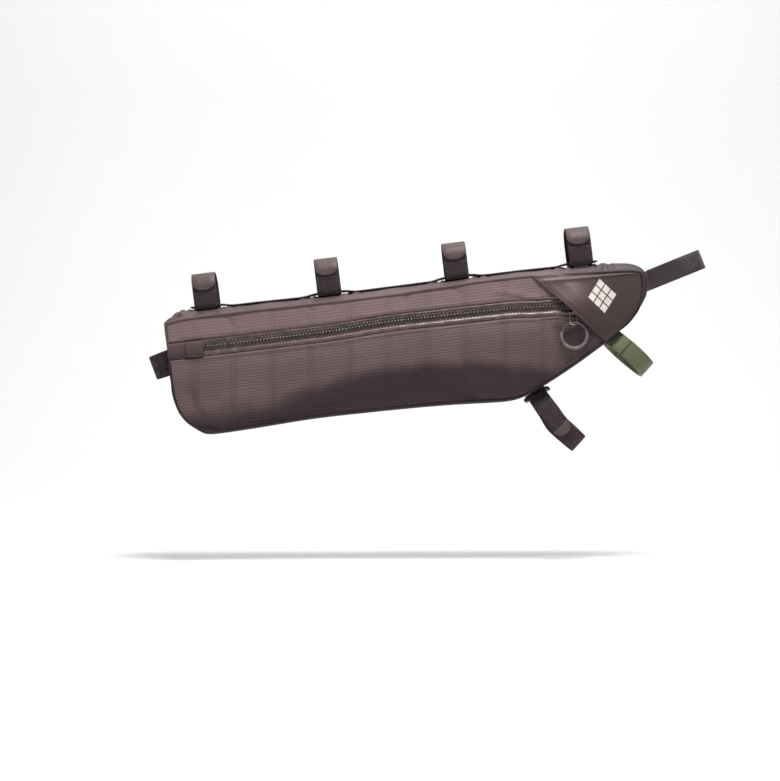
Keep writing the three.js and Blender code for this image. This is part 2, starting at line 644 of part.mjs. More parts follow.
function loopStations(path, held, half, round = 0, shift = 0) {
  const axis = new THREE.Vector3(held.axis.x, 0, held.axis.y);
  const out = new THREE.Vector3(held.out.x, 0, held.out.y);
  const centre = new THREE.Vector3(held.centre.x, 0, held.centre.y).addScaledVector(axis, shift);
  const places = path.map(([outward, near]) => centre.clone().addScaledVector(out, outward).addScaledVector(NEAR, near));
  const halves = round ? tabbed(places, half, round) : places.map(() => half);
  return places.map((at, i) => ({ at, across: axis, half: halves[i] }));
}

// A strap wound once round its bore, whose end lies over its start
function coil(held, width, from, overlap, round, shift) {
  const inner = held.radius + GAP + STRAP_WALL / 2;
  const outer = inner + STRAP_WALL + GAP;
  const radius = (angle) => lerp(inner, outer, smoothstep(angle, from + 318, from + 350));
  const turn = 360 + overlap;
  return ribbon(loopStations(arc(0, 0, radius, from, from + turn, Math.round(turn / 9)), held, width / 2, round, shift), STRAP_WALL);
}

function topStrap(x) {
  const held = {
    centre: new THREE.Vector2(x, GAP + TOP_BORE / 2),
    axis: new THREE.Vector2(1, 0),
    out: new THREE.Vector2(0, 1),
    radius: TOP_BORE / 2,
  };
  const inner = held.radius + GAP + STRAP_WALL / 2;
  const outer = inner + STRAP_WALL + GAP;
  const edges = [x - TOP_STRAP_WIDTH / 2, x, x + TOP_STRAP_WIDTH / 2].map(crownAt);
  const floor = Math.max(...edges) + GAP + STRAP_WALL / 2 - held.centre.y;
  const corner = 5;
  const lapped = (angle) => lerp(inner, outer, smoothstep(angle, 0, 30));
  const path = [
    ...arc(0, 0, inner, 35, 90, 6),
    ...arc(floor + corner, inner - corner, corner, 90, 180, 4),
    ...arc(floor + corner, corner - inner, corner, 180, 270, 4),
    ...arc(0, 0, inner, 270, 360, 8),
    ...arc(0, 0, lapped, 6, 92, 16),
  ];
  return ribbon(loopStations(path, held, TOP_STRAP_WIDTH / 2, TAB_ROUND), STRAP_WALL);
}

const TOP_STRAPS = TOP_PLACES.map((place) => place * TOP_PITCH + TOP_SHIFT);

// The lash webbing rests on the gusset and climbs over each top strap
function lashWebbing() {
  const end = TOP_STRAPS[3] + TOP_STRAP_WIDTH / 2 + WEBBING_END;
  const start = TOP_STRAPS[0] - TOP_STRAP_WIDTH / 2 - WEBBING_END;
  const steps = 62;
  const half = TOP_STRAP_WIDTH / 2;
  const stations = Array.from({ length: steps + 1 }, (_, i) => {
    const x = lerp(start, end, i / steps);
    const nearest = Math.min(...TOP_STRAPS.map((strap) => Math.abs(x - strap)));
    const climb = (STRAP_WALL + 3 * GAP) * (1 - smoothstep(nearest, half + 4, half + 14));
    const rest = Math.max(crownAt(x), crownAt(x - 6), crownAt(x + 6));
    return {
      at: new THREE.Vector3(x, 0, rest + GAP + WEBBING_WALL / 2 + climb),
      across: new THREE.Vector3(0, 1, 0),
      half: WEBBING_WIDTH / 2,
    };
  });
  return ribbon(stations, WEBBING_WALL);
}

const rearStrap = () => coil(rearBore, REAR_STRAP_WIDTH, -60, 110, 0, 0);
const accentStrap = () => coil(lowerBore, ACCENT_STRAP_WIDTH, -20, 121, 0, 0);

// The nose strap's two runs leave the gusset side by side and close round the bore ahead of the bag
function noseStrap() {
  const seam = sidePoint(1, NOSE_STRAP_AT);
  const forward = new THREE.Vector2(Math.cos(degToRad(NOSE_RISE)), Math.sin(degToRad(NOSE_RISE)));
  const held = {
    centre: new THREE.Vector2(seam.x, seam.z).addScaledVector(forward, NOSE_REACH),
    axis: new THREE.Vector2(-forward.y, forward.x),
    out: forward,
    radius: NOSE_BORE / 2,
  };
  const bend = held.radius + GAP + STRAP_WALL / 2;
  const root = section('lowHalf', 1) * BAG_WIDTH * 0.5;
  const lean = 100;
  const path = [
    [-NOSE_REACH - GUSSET_RISE, -root],
    [-NOSE_REACH + GUSSET_RISE, -root - 1],
    ...arc(0, 0, bend, -lean, lean, 22),
    [-NOSE_REACH + GUSSET_RISE, root + 1],
    [-NOSE_REACH - GUSSET_RISE, root],
  ];
  const strap = toSolid(ribbon(loopStations(path, held, NOSE_STRAP_WIDTH / 2), STRAP_WALL));
  return toGeometry(strap.subtract(through(outlineAt(root - STRAP_WALL, 4 * GAP))));
}

// The metal hoop on the lower edge, the webbing chape that holds it and the strap that hangs from it
const hoopSeam = sidePoint(HOOP_AT, 0);
const hoopAlong = sidePoint(HOOP_AT + 0.02, 0).sub(sidePoint(HOOP_AT - 0.02, 0)).setY(0).normalize();
const hoopOut = new THREE.Vector3(hoopAlong.z, 0, -hoopAlong.x);
const gussetFloor = GAP + LOWER_SAG;
const hoopDrop = gussetFloor + 2 * GAP + CHAPE_WALL + HOOP_WIRE / 2;
const barApart = (HOOP_HEIGHT - HOOP_WIRE) / 2;
const hoopAcross = NEAR.clone().multiplyScalar(Math.cos(degToRad(HOOP_TILT)))
  .addScaledVector(hoopOut, Math.sin(degToRad(HOOP_TILT)));
const farBar = hoopSeam.clone().setY(0).addScaledVector(hoopOut, hoopDrop)
  .addScaledVector(NEAR, -barApart * Math.cos(degToRad(HOOP_TILT)));
const hoopCentre = farBar.clone().addScaledVector(hoopAcross, barApart);
const nearBar = farBar.clone().addScaledVector(hoopAcross, 2 * barApart);

function strapRing() {
  const path = roundedLoop(hoopCentre, hoopAlong, hoopAcross, HOOP_LENGTH - HOOP_WIRE, 2 * barApart, 2.5, 3);
  return wireLoop(path, hoopAlong.clone().cross(hoopAcross).normalize(), () => HOOP_WIRE / 2, 8);
}

function ringChape() {
  const bend = HOOP_WIRE / 2 + GAP + CHAPE_WALL / 2;
  const top = GAP + gussetFloor - hoopDrop;
  const path = [
    [top, bend],
    ...arc(0, 0, bend, 90, -90, 8),
    [top, -bend],
  ];
  const stations = path.map(([outward, near]) => ({
    at: farBar.clone().addScaledVector(hoopOut, outward).addScaledVector(NEAR, near),
    across: hoopAlong,
    half: CHAPE_WIDTH / 2,
  }));
  return ribbon(stations, CHAPE_WALL);
}

// Angle at which a straight run leaves the round at the origin for one of another radius
function tangentAngle(toX, toY, radiusHere, radiusThere, side) {
  const apart = Math.hypot(toX, toY);
  return THREE.MathUtils.radToDeg(Math.atan2(toY, toX) + side * Math.acos((radiusHere - radiusThere) / apart));
}

function lowerStrap() {
  const axis = new THREE.Vector3(lowerBore.axis.x, 0, lowerBore.axis.y);
  const out = new THREE.Vector3(lowerBore.out.x, 0, lowerBore.out.y);
  const centre = new THREE.Vector3(lowerBore.centre.x, 0, lowerBore.centre.y);
  const toHoop = nearBar.clone().sub(centre);
  const [barOut, barNear] = [toHoop.dot(out), toHoop.dot(NEAR)];
  const bend = HOOP_WIRE / 2 + GAP + STRAP_WALL / 2;
  const inner = lowerBore.radius + GAP + STRAP_WALL / 2;
  const outer = inner + STRAP_WALL + GAP;
  const nearAngle = tangentAngle(barOut, barNear, outer, bend, -1);
  const farAngle = tangentAngle(barOut, barNear, inner, bend, 1);
  const path = [
    ...arc(0, 0, inner, 116, farAngle - 360, 26),
    ...arc(barOut, barNear, bend, farAngle - 360, nearAngle - 360, 8),
    ...arc(0, 0, outer, nearAngle, 73, 8),
  ];
  const places = path.map(([outward, near]) => {
    const onHoop = smoothstep(-outward, -barOut * 0.5, -barOut * 0.8);
    const shift = lerp(-LOWER_STRAP_RUN, toHoop.dot(axis), smoothstep(-outward, 0, -barOut));
    return {
      at: centre.clone().addScaledVector(axis, shift).addScaledVector(out, outward).addScaledVector(NEAR, near),
      across: axis.clone().lerp(hoopAlong, onHoop).normalize(),
    };
  });
  const halves = tabbed(places.map(({ at }) => at), LOWER_STRAP_WIDTH / 2, LOWER_STRAP_WIDTH / 2);
  return ribbon(places.map((place, i) => ({ ...place, half: halves[i] })), STRAP_WALL);
}

// The scene graph: the bag hangs at its slope, and the part's frame stays upright
const part = new THREE.Group();
const bag = new THREE.Group();
bag.rotation.y = -degToRad(HANG_SLOPE);
part.add(bag);

function add(name, geometry, finish) {
  const mesh = new THREE.Mesh(geometry, finish);
  mesh.name = name;
  bag.add(mesh);
}

const near = nearPanels();
add('near_panel_upper', near.upper, FINISHES.ripstop);
add('near_panel_lower', near.lower, FINISHES.ripstop);
add('far_panel', farPanel(), FINISHES.ripstop);
add('gusset', gusset(), FINISHES.coated);
add('nose_patch', nosePatch(), FINISHES.coated);
add('zip_tape', zipTape(), FINISHES.zip);
add('zip_chain', zipChain(), FINISHES.zip);
add('zip_end_tab', zipEndTab(), FINISHES.coated);
add('zip_slider', zipSlider(), FINISHES.zip);
add('pull_link', pullLink(), FINISHES.steel);
add('pull_ring', pullRing(), FINISHES.sleeve);
add('lash_webbing', lashWebbing(), FINISHES.webbing);
TOP_STRAPS.forEach((x, i) => add(`top_strap_${i + 1}`, topStrap(x), FINISHES.hook));
add('rear_strap', rearStrap(), FINISHES.hook);
add('nose_strap', noseStrap(), FINISHES.webbing);
add('accent_strap', accentStrap(), FINISHES.accent);
add('lower_strap', lowerStrap(), FINISHES.hook);
add('strap_ring', strapRing(), FINISHES.steel);
add('ring_chape', ringChape(), FINISHES.webbing);

export default part;
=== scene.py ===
import math

import bmesh
import bpy
import numpy as np
from bpy.props import FloatProperty, FloatVectorProperty, PointerProperty
from mathutils import Matrix, Vector


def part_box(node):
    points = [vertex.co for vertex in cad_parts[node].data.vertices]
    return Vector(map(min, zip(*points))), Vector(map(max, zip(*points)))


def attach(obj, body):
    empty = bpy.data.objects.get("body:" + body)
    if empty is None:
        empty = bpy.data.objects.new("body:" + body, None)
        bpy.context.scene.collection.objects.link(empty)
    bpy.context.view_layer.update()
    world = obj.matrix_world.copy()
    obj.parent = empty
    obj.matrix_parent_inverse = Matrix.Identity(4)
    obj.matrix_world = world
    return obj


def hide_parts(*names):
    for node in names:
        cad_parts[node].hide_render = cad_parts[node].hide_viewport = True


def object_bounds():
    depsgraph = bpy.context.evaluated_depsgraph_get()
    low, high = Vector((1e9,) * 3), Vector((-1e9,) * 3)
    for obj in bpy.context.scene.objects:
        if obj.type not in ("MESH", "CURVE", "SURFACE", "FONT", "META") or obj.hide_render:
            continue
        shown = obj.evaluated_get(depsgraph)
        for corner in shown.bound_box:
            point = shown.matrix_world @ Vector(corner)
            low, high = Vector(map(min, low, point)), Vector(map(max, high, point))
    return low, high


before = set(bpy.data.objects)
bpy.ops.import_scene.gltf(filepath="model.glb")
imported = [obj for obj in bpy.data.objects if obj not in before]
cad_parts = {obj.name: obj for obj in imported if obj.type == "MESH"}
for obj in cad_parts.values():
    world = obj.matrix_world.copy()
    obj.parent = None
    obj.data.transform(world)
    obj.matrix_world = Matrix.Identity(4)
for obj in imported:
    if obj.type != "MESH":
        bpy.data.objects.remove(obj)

bl_info = {
    "name": "Half-frame bag",
    "version": (1, 0, 0),
    "blender": (4, 5, 0),
    "location": "View3D > Sidebar > Frame bag",
    "description": "Sewn cloth, zip, straps and stage for the frame bag",
    "category": "Object",
}

CAD_BOX = [[*corner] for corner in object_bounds()]

# The bag hangs at this slope, and its own frame turns with it
SLOPE = math.radians(7)
TO_WORLD = Matrix.Rotation(-SLOPE, 3, "Y")

# The bag's overall form, in metres. Names that end in AT are shares of the length
LENGTH = 0.510
DEPTH = 0.140
WIDTH = 0.060
ORIGIN_AT = 0.4745
PANEL_WALL = 0.0018
PATCH_WALL = 0.0015
CORNER_SHARP = 8
GAP = 0.0003

# The zip opening, the patch that laps over its front end, and the patch's swell over the slider
ZIP_ABOVE = 0.0076
ZIP_BELOW = 0.0106
ZIP_TAIL_AT = 0.0015
ZIP_START_AT = 0.012
CHAIN_INSET = 0.014
TOOTH_WIDTH = 0.0044
TOOTH_HEIGHT = 0.0019
TOOTH_OFFSET = 0.0015
PATCH_TOP_AT = 0.653
PATCH_LOW_AT = 0.84
PATCH_LAP = 0.008
PATCH_FADE = 0.012
SLIDER_TUCK = 0.0075
GARAGE_LIFT = 0.0068
GARAGE_DROP = 0.004
GARAGE_REACH = 0.024

# Straps: places along the top, bores across them, and tilts in degrees
TOP_STRAPS = [place * 0.131 + 0.004 for place in (-1.53, -0.53, 0.516, 1.5275)]
TOP_BORE = 0.032
LOWER_BORE = 0.052
LOWER_TILT = 41.3
REAR_TILT = 103.5
NOSE_TILT = 105
CHAPE_TILT = 24
ACCENT_CENTRE = (0.2447, -0.1029)
UV_RADIUS = 0.02

# How far off its bore a strap's tab begins, and a limit that no strap reaches, for one without a tab
TAB_LAP = 0.00205
NO_TAB = 1.0

# Stitch rows: distance from an edge, and height off the cloth
STITCH_INSET = 0.0034
STITCH_PROUD = 0.0006

# The patch's pale lattice: its middle and half size in x and z
MOTIF_CENTRE = (0.2205, -0.0424)
MOTIF_SIZE = (0.0225, 0.0275)

# The stage: the floor's depth below the bag, and the width, height and front of the camera's view
FLOOR_DROP = 0.12
VIEW_WIDTH = 0.8229
VIEW_HEIGHT = -0.1149
VIEW_FRONT = -0.029

# Cross-sections from the rear end to the nose, as shares of the length, depth and width
SECTIONS = {
    "top": [0.004, 0.039, 0.092, 0.18, 0.278, 0.376, 0.4745, 0.5725, 0.661, 0.729, 0.778, 0.837,
        0.896, 0.945, 0.976, 0.996],
    "low": [0.002, 0.039, 0.092, 0.18, 0.278, 0.376, 0.4745, 0.5725, 0.651, 0.704, 0.747, 0.806,
        0.865, 0.92, 0.949, 0.965],
    "corner": [0.047, 0.024, 0.008, 0, 0, 0, 0, 0, 0, 0, 0, 0, 0, 0, 0, 0],
    "bow": [-0.002, 0, 0, 0, 0, 0, 0, 0, 0, 0, 0, 0, 0, 0, 0.004, 0.012],
    "top_drop": [0.111, 0.093, 0.09, 0.091, 0.096, 0.1, 0.101, 0.091, 0.083, 0.084, 0.088, 0.102,
        0.116, 0.127, 0.138, 0.157],
    "low_drop": [0.936, 0.957, 0.959, 0.95, 0.935, 0.938, 0.945, 0.958, 0.978, 0.982, 0.93, 0.83,
        0.716, 0.6, 0.537, 0.486],
    "top_half": [0.415, 0.385, 0.35, 0.35, 0.35, 0.35, 0.35, 0.35, 0.35, 0.35, 0.345, 0.335, 0.325,
        0.31, 0.3, 0.29],
    "low_half": [0.44, 0.38, 0.3, 0.285, 0.283, 0.283, 0.283, 0.283, 0.283, 0.29, 0.3, 0.37, 0.42,
        0.43, 0.42, 0.41],
    "belly": [0.01, 0.075, 0.16, 0.185, 0.195, 0.195, 0.195, 0.195, 0.185, 0.17, 0.15, 0.1, 0.065,
        0.04, 0.03, 0.02],
}

# The zip chain's centre line: shares of the length along and of the depth down
ZIP_AT = [0, 0.17, 0.32, 0.4745, 0.59, 0.7, 0.79, 0.86, 1]
ZIP_DROP = [0.312, 0.315, 0.317, 0.299, 0.304, 0.309, 0.331, 0.352, 0.4]

# Soft folds in the near side's cloth: from x, z to x, z, half width and height, in millimetres
NEAR_FOLDS = [
    (170, -72, 163, -120, 5, -2.0),
    (158, -84, 150, -112, 8, 1.2),
    (190, -88, 176, -120, 10, -3.6),
    (-208, -60, -232, -96, 9, -1.2),
    (-214, -104, -196, -128, 8, 1.4),
    (-226, -88, -214, -118, 6, -1.6),
    (80, -108, 118, -132, 8, -1.3),
    (140, -52, 186, -66, 6, -1.0),
    (112, -24, 152, -36, 4, 1.0),
    (118, -30, 156, -42, 3, -0.8),
    (-150, -60, -40, -64, 10, -0.5),
    (40, -60, 140, -70, 9, 0.6),
    (205, -84, 226, -68, 5, 0.7),
    (-178, -13, -172, -24, 3, -0.9),
    (-90, -13, -86, -20, 3, -0.7),
    (18, -13, 14, -22, 4, -0.8),
    (66, -12, 70, -20, 3, -0.7),
]

# Where the side turns under towards the bottom, from the rear to the front, in millimetres
RIDGE_X = [-240, -215, -181, -147, -98, -47, -6, 38, 60, 78, 100, 140]
RIDGE_Z = [-124, -116, -104, -107, -101, -93, -94, -92, -103, -118, -126, -136]

# The zip cloth's cross-section: millimetres up from the chain's middle, and height off the side
ZIP_PROFILE = [
    (-11.8, -2.3), (-10.5, -2.0), (-9.2, -0.7), (-7.2, 0.3), (-5.2, -0.5), (-4.2, -1.3), (0, -1.4),
    (4.2, -1.3), (4.8, -0.6), (6.0, -0.2), (7.0, -1.0), (7.8, -2.0), (8.8, -2.3),
]

# Runs at which edges of the near side's cloth are worked out
RUNS = np.linspace(0, 1, 241)


def smoothstep(value, low, high):
    k = np.clip((value - low) / (high - low), 0, 1)
    return k * k * (3 - 2 * k)


def bell(value, centre, half):
    return np.exp(-(((value - centre) / half) ** 2))


def along(share):
    """x in the bag's own frame, at a share of the length."""
    return (share - ORIGIN_AT) * LENGTH


def spline(values, share):
    """Smooth curve through evenly spaced values."""
    values = np.asarray(values, float)
    place = np.clip(share, 0, 1) * (len(values) - 1)
    index = np.minimum(place.astype(int), len(values) - 2)
    k = place - index
    a, b, c, d = (values[np.clip(index + step, 0, len(values) - 1)] for step in (-1, 0, 1, 2))
    slope_in, slope_out = (c - a) / 2, (d - b) / 2
    return (b + slope_in * k + (3 * (c - b) - 2 * slope_in - slope_out) * k**2
            + (2 * (b - c) + slope_in + slope_out) * k**3)


def section(name, run):
    return spline(SECTIONS[name], run)


def side_point(run, rise):
    """The near side in the bag's own frame. run goes to the nose, and rise to the top seam."""
    run, rise = np.broadcast_arrays(np.asarray(run, float), np.asarray(rise, float))
    rise = np.maximum(rise, 0)
    end = section("low", run) * (1 - rise) + section("top", run) * rise
    end = end + section("bow", run) * 4 * rise * (1 - rise)
    end = end + section("corner", run) * np.clip(1 - rise, 0, 1) ** CORNER_SHARP
    drop = section("low_drop", run) * (1 - rise) + section("top_drop", run) * rise
    half = section("low_half", run) * (1 - rise) + section("top_half", run) * rise
    half = half + section("belly", run) * np.sin(np.pi * np.clip(rise, 0, 1) ** 0.66)
    return np.stack([along(end), -half * WIDTH, -drop * DEPTH], axis=-1)


def side_normal(run, rise):
    """The way out of the near side's cloth."""
    step = 0.004
    forward = side_point(np.minimum(run + step, 1), rise) - side_point(np.maximum(run - step, 0), rise)
    up = side_point(run, np.minimum(rise + step, 1)) - side_point(run, np.maximum(rise - step, 0))
    normal = np.cross(forward, up)
    return normal / np.linalg.norm(normal, axis=-1, keepdims=True)


def locate(x, z):
    """The run and rise of the surface point that is seen at x and z."""
    x, z = np.broadcast_arrays(np.asarray(x, float), np.asarray(z, float))
    run = np.clip(x / LENGTH + ORIGIN_AT, 0.02, 0.98)
    rise = np.full_like(run, 0.5)
    step = 0.002
    for _ in range(14):
        here = side_point(run, rise)
        by_run = (side_point(run + step, rise) - here) / step
        by_rise = (side_point(run, rise + step) - here) / step
        determinant = by_run[..., 0] * by_rise[..., 2] - by_rise[..., 0] * by_run[..., 2]
        dx, dz = x - here[..., 0], z - here[..., 2]
        run = np.clip(run + (dx * by_rise[..., 2] - dz * by_rise[..., 0]) / determinant, 0, 0.997)
        rise = np.clip(rise + (by_run[..., 0] * dz - by_run[..., 2] * dx) / determinant, 0, 0.997)
    return run, rise


def on_side(x, z, proud):
    """Points standing proud of the near side's cloth at x and z, and the way out of the cloth there."""
    run, rise = locate(x, z)
    normal = side_normal(run, rise)
    return side_point(run, rise) + normal * np.asarray(proud)[..., None], normal


def zip_centre(x):
    """Height of the zip chain's centre line."""
    share = np.clip(np.asarray(x, float) / LENGTH + ORIGIN_AT, 0, 1)
    after = np.clip(np.searchsorted(ZIP_AT, share), 1, len(ZIP_AT) - 1)
    at, drop = np.asarray(ZIP_AT), np.asarray(ZIP_DROP)
    k = smoothstep(share, at[after - 1], at[after])
    return -DEPTH * (drop[after - 1] * (1 - k) + drop[after] * k)


def bisect(low, high, is_past):
    """The value between low and high where is_past turns true, for whole arrays."""
    for _ in range(40):
        middle = (low + high) / 2
        past = is_past(middle)
        low, high = np.where(past, low, middle), np.where(past, middle, high)
    return low


PATCH_TOP = side_point(PATCH_TOP_AT, 1)
PATCH_LOW = side_point(PATCH_LOW_AT, 0)
PATCH_LINE = (PATCH_LOW - PATCH_TOP)[[0, 2]] / np.linalg.norm((PATCH_LOW - PATCH_TOP)[[0, 2]])


def past_patch(x, z):
    """Distance past the patch's free edge, towards the nose."""
    return (z - PATCH_TOP[2]) * PATCH_LINE[0] - (x - PATCH_TOP[0]) * PATCH_LINE[1]


ZIP_END = float(bisect(PATCH_TOP[0], PATCH_LOW[0], lambda x: past_patch(x, zip_centre(x)) > 0))


def patch_lift(x, z):
    """How far the patch stands off the side, where it laps over the panels and the slider."""
    past = past_patch(x, z)
    lap = (PATCH_WALL + GAP) * (1 - smoothstep(past, 2 * PATCH_LAP, 2 * PATCH_LAP + PATCH_FADE))
    away = np.hypot(x - ZIP_END - SLIDER_TUCK, z - zip_centre(ZIP_END) + GARAGE_DROP)
    return lap + GARAGE_LIFT * bell(away, 0, GARAGE_REACH)


def near_folds(points):
    """How far the near side's cloth stands off its smooth form."""
    x, z = points[..., 0] * 1000, points[..., 2] * 1000
    height = np.zeros_like(x)
    for x0, z0, x1, z1, half, lift in NEAR_FOLDS:
        dx, dz = x1 - x0, z1 - z0
        k = np.clip(((x - x0) * dx + (z - z0) * dz) / (dx * dx + dz * dz), 0, 1)
        away = np.hypot(x - x0 - k * dx, z - z0 - k * dz)
        height += lift * bell(away, 0, half)
    # A ridge where the side turns under, and a hollow below it
    above = z - np.interp(x, RIDGE_X, RIDGE_Z)
    height += 2.4 * bell(above, 0, 13) - 2.8 * bell(above, -21, 11)
    # Shallow waves all over
    height += 0.30 * np.sin(x / 23 + z / 31) * np.sin(z / 17 - x / 90)
    height += 0.16 * np.sin(x / 9.5 + 3 * np.sin(z / 21))
    return height / 1000


def to_world(points):
    """From the bag's own frame to the row frame."""
    return np.asarray(points) @ np.array(TO_WORLD).T


# Mesh helpers

def grid_mesh(columns, rows, place, mirrored=False):
    """A bmesh grid whose unit square is laid onto a surface by place(s, t), in the bag's own frame."""
    mesh = bmesh.new()
    bmesh.ops.create_grid(mesh, x_segments=columns, y_segments=rows, size=0.5)
    share = np.array([v.co for v in mesh.verts])[:, :2] + 0.5
    points = place(np.clip(share[:, 0], 0, 1), np.clip(share[:, 1], 0, 1))
    if mirrored:
        points = points * [1, -1, 1]
    for vert, point in zip(mesh.verts, to_world(points)):
        vert.co = point
    if mirrored:
        bmesh.ops.reverse_faces(mesh, faces=mesh.faces)
    return mesh


def cad_mesh(node, crease_over=math.radians(50)):
    """A CAD node's surface, merged and turned back into quads, with its sharp edges creased."""
    mesh = bmesh.new()
    mesh.from_mesh(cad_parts[node].data)
    bmesh.ops.remove_doubles(mesh, verts=mesh.verts, dist=0.00001)
    bmesh.ops.join_triangles(mesh, faces=mesh.faces, angle_face_threshold=math.radians(35),
                             angle_shape_threshold=math.radians(60))
    crease = mesh.edges.layers.float.new("crease_edge")
    for edge in mesh.edges:
        if len(edge.link_faces) == 2 and edge.calc_face_angle(0) > crease_over:
            edge[crease] = 0.85
    return mesh


def shade_smooth(data):
    data.polygons.foreach_set("use_smooth", [True] * len(data.polygons))


def mesh_data(name, mesh):
    """Smoothly shaded mesh data from a bmesh, which is used up."""
    data = bpy.data.meshes.new(name)
    mesh.to_mesh(data)
    mesh.free()
    shade_smooth(data)
    return data


def linked(name, data):
    """A new object in the scene."""
    obj = bpy.data.objects.new(name, data)
    bpy.context.scene.collection.objects.link(obj)
    return obj


def new_piece(name, mesh, material, nodes, slot):
    """A piece from a bmesh, in place of the CAD nodes that it names."""
    obj = linked(name, mesh_data(name, mesh))
    obj.data.materials.append(material)
    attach(obj, "root")
    if nodes:
        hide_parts(*nodes)
    return obj


def add_wall(obj, thickness):
    wall = obj.modifiers.new("Wall", "SOLIDIFY")
    wall.thickness = thickness
    wall.offset = -1


def subdivide(obj):
    smooth = obj.modifiers.new("Smooth", "SUBSURF")
    smooth.levels = smooth.render_levels = 2


def bake_subdivided(obj):
    """Puts the object's subdivided form into its mesh."""
    subdivide(obj)
    depsgraph = bpy.context.evaluated_depsgraph_get()
    mesh = bpy.data.meshes.new_from_object(obj.evaluated_get(depsgraph))
    obj.modifiers.clear()
    obj.data = mesh
    shade_smooth(mesh)


def wire_piece(name, node, growth, material, slot):
    """A round wire from its CAD node, grown a little first because the smoothing thins it."""
    mesh = cad_mesh(node, math.pi)
    mesh.normal_update()
    for vert in mesh.verts:
        vert.co += vert.normal * growth
    subdivide(new_piece(name, mesh, material, [node], slot))


def curve_piece(name, points, radius, material):
    """A closed round of piping along points in the row frame."""
    data = bpy.data.curves.new(name, "CURVE")
    data.dimensions = "3D"
    data.bevel_depth = radius
    data.bevel_resolution = 2
    line = data.splines.new("POLY")
    line.points.add(len(points) - 1)
    for target, point in zip(line.points, points):
        target.co = (*point, 1)
    line.use_cyclic_u = True
    line.use_smooth = True
    data.materials.append(material)
    obj = linked(name, data)
    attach(obj, "root")


# Shader helpers

def one_sided(operation):
    return lambda self: self.math(operation, self)


def two_sided(operation):
    return lambda self, other: self.math(operation, self, other)


class Socket:
    """A shader output that takes part in Python expressions."""

    def __init__(self, shader, output):
        self.shader = shader
        self.output = output

    def math(self, operation, *values, clamp=False):
        node = self.shader.node("ShaderNodeMath", {"operation": operation, "use_clamp": clamp}, *values)
        return Socket(self.shader, node.outputs[0])

    def __sub__(self, other):
        return self.math("SUBTRACT", self, other)

    def __rsub__(self, other):
        return self.math("SUBTRACT", other, self)

    def __truediv__(self, other):
        return self.math("DIVIDE", self, other)

    def __rtruediv__(self, other):
        return self.math("DIVIDE", other, self)

    __add__ = __radd__ = two_sided("ADD")
    __mul__ = __rmul__ = two_sided("MULTIPLY")
    sin = one_sided("SINE")
    abs = one_sided("ABSOLUTE")
    fract = one_sided("FRACT")
    sqrt = one_sided("SQRT")

    def waves(self, pitch):
        """A sine from 0 to 1 that repeats at every pitch."""
        return (self * (2 * math.pi / pitch)).sin() * 0.5 + 0.5

    def clamp(self):
        return self.math("ADD", self, 0, clamp=True)

    def above(self, low, high):
        """0 under low and 1 over high, with a soft step between."""
        soft = {"interpolation_type": "SMOOTHSTEP"}
        node = self.shader.node("ShaderNodeMapRange", soft, self, low, high, 0, 1)
        return Socket(self.shader, node.outputs[0])


class Shader:
    """A material with one Principled surface, and a single way to add nodes."""

    def __init__(self, name, roughness, metallic=0, **constants):
        self.material = bpy.data.materials.new(name)
        self.material.use_nodes = True
        self.tree = self.material.node_tree
        self.surface = self.tree.nodes["Principled BSDF"]
        self.surface.inputs["Roughness"].default_value = roughness
        self.surface.inputs["Metallic"].default_value = metallic
        for socket, value in constants.items():
            self.surface.inputs[socket.replace("_", " ")].default_value = value

    def node(self, kind, settings=None, *values, **named):
        node = self.tree.nodes.new(kind)
        for key, value in (settings or {}).items():
            setattr(node, key, value)
        for socket, value in enumerate(values):
            self.join(node.inputs[socket], value)
        for key, value in named.items():
            self.join(node.inputs[key.replace("_", " ")], value)
        return node

    def join(self, target, value):
        if isinstance(value, Socket):
            self.tree.links.new(value.output, target)
        else:
            target.default_value = value

    def source(self):
        return Socket(self, self.node("ShaderNodeTexCoord").outputs["Object"])

    def place(self):
        """Object coordinates turned into the bag's own frame."""
        turned = self.node("ShaderNodeMapping", None, self.source(), (0, 0, 0), (0, SLOPE, 0))
        return Socket(self, turned.outputs[0])

    def uv(self):
        return Socket(self, self.node("ShaderNodeTexCoord").outputs["UV"])

    def split(self, vector):
        node = self.node("ShaderNodeSeparateXYZ", None, vector)
        return [Socket(self, output) for output in node.outputs]

    def noise(self, place, scale, detail=3, roughness=0.55, distortion=0):
        node = self.node("ShaderNodeTexNoise", None, Vector=place, Scale=scale, Detail=detail,
                         Roughness=roughness, Distortion=distortion)
        return Socket(self, node.outputs[0])

    def mix(self, factor, first, second):
        node = self.tree.nodes.new("ShaderNodeMix")
        node.data_type = "RGBA"
        self.join(node.inputs[0], factor)
        self.join(node.inputs[6], first)
        self.join(node.inputs[7], second)
        return Socket(self, node.outputs[2])

    def between(self, factor, colour, low, high):
        """The colour between two brightnesses."""
        return self.mix(factor, shade(colour, low), shade(colour, high))

    def bump(self, height, distance, strength):
        node = self.node("ShaderNodeBump", None, Strength=strength, Distance=distance, Height=height)
        self.join(self.surface.inputs["Normal"], Socket(self, node.outputs[0]))

    def colour(self, value):
        self.join(self.surface.inputs["Base Color"], value)

    def rough(self, value):
        self.join(self.surface.inputs["Roughness"], value)


def shade(name, factor):
    """One of the bag's colours, made paler or darker."""
    return (*(min(1, channel * factor) for channel in getattr(colours(), name)), 1)


# Property groups

def length(name, description, default):
    return FloatProperty(name=name, description=description, default=default, min=0, unit="LENGTH",
                         precision=4)


def tint(name, description, default):
    return FloatVectorProperty(name=name, description=description, default=default, size=3, min=0, max=1,
                               subtype="COLOR")


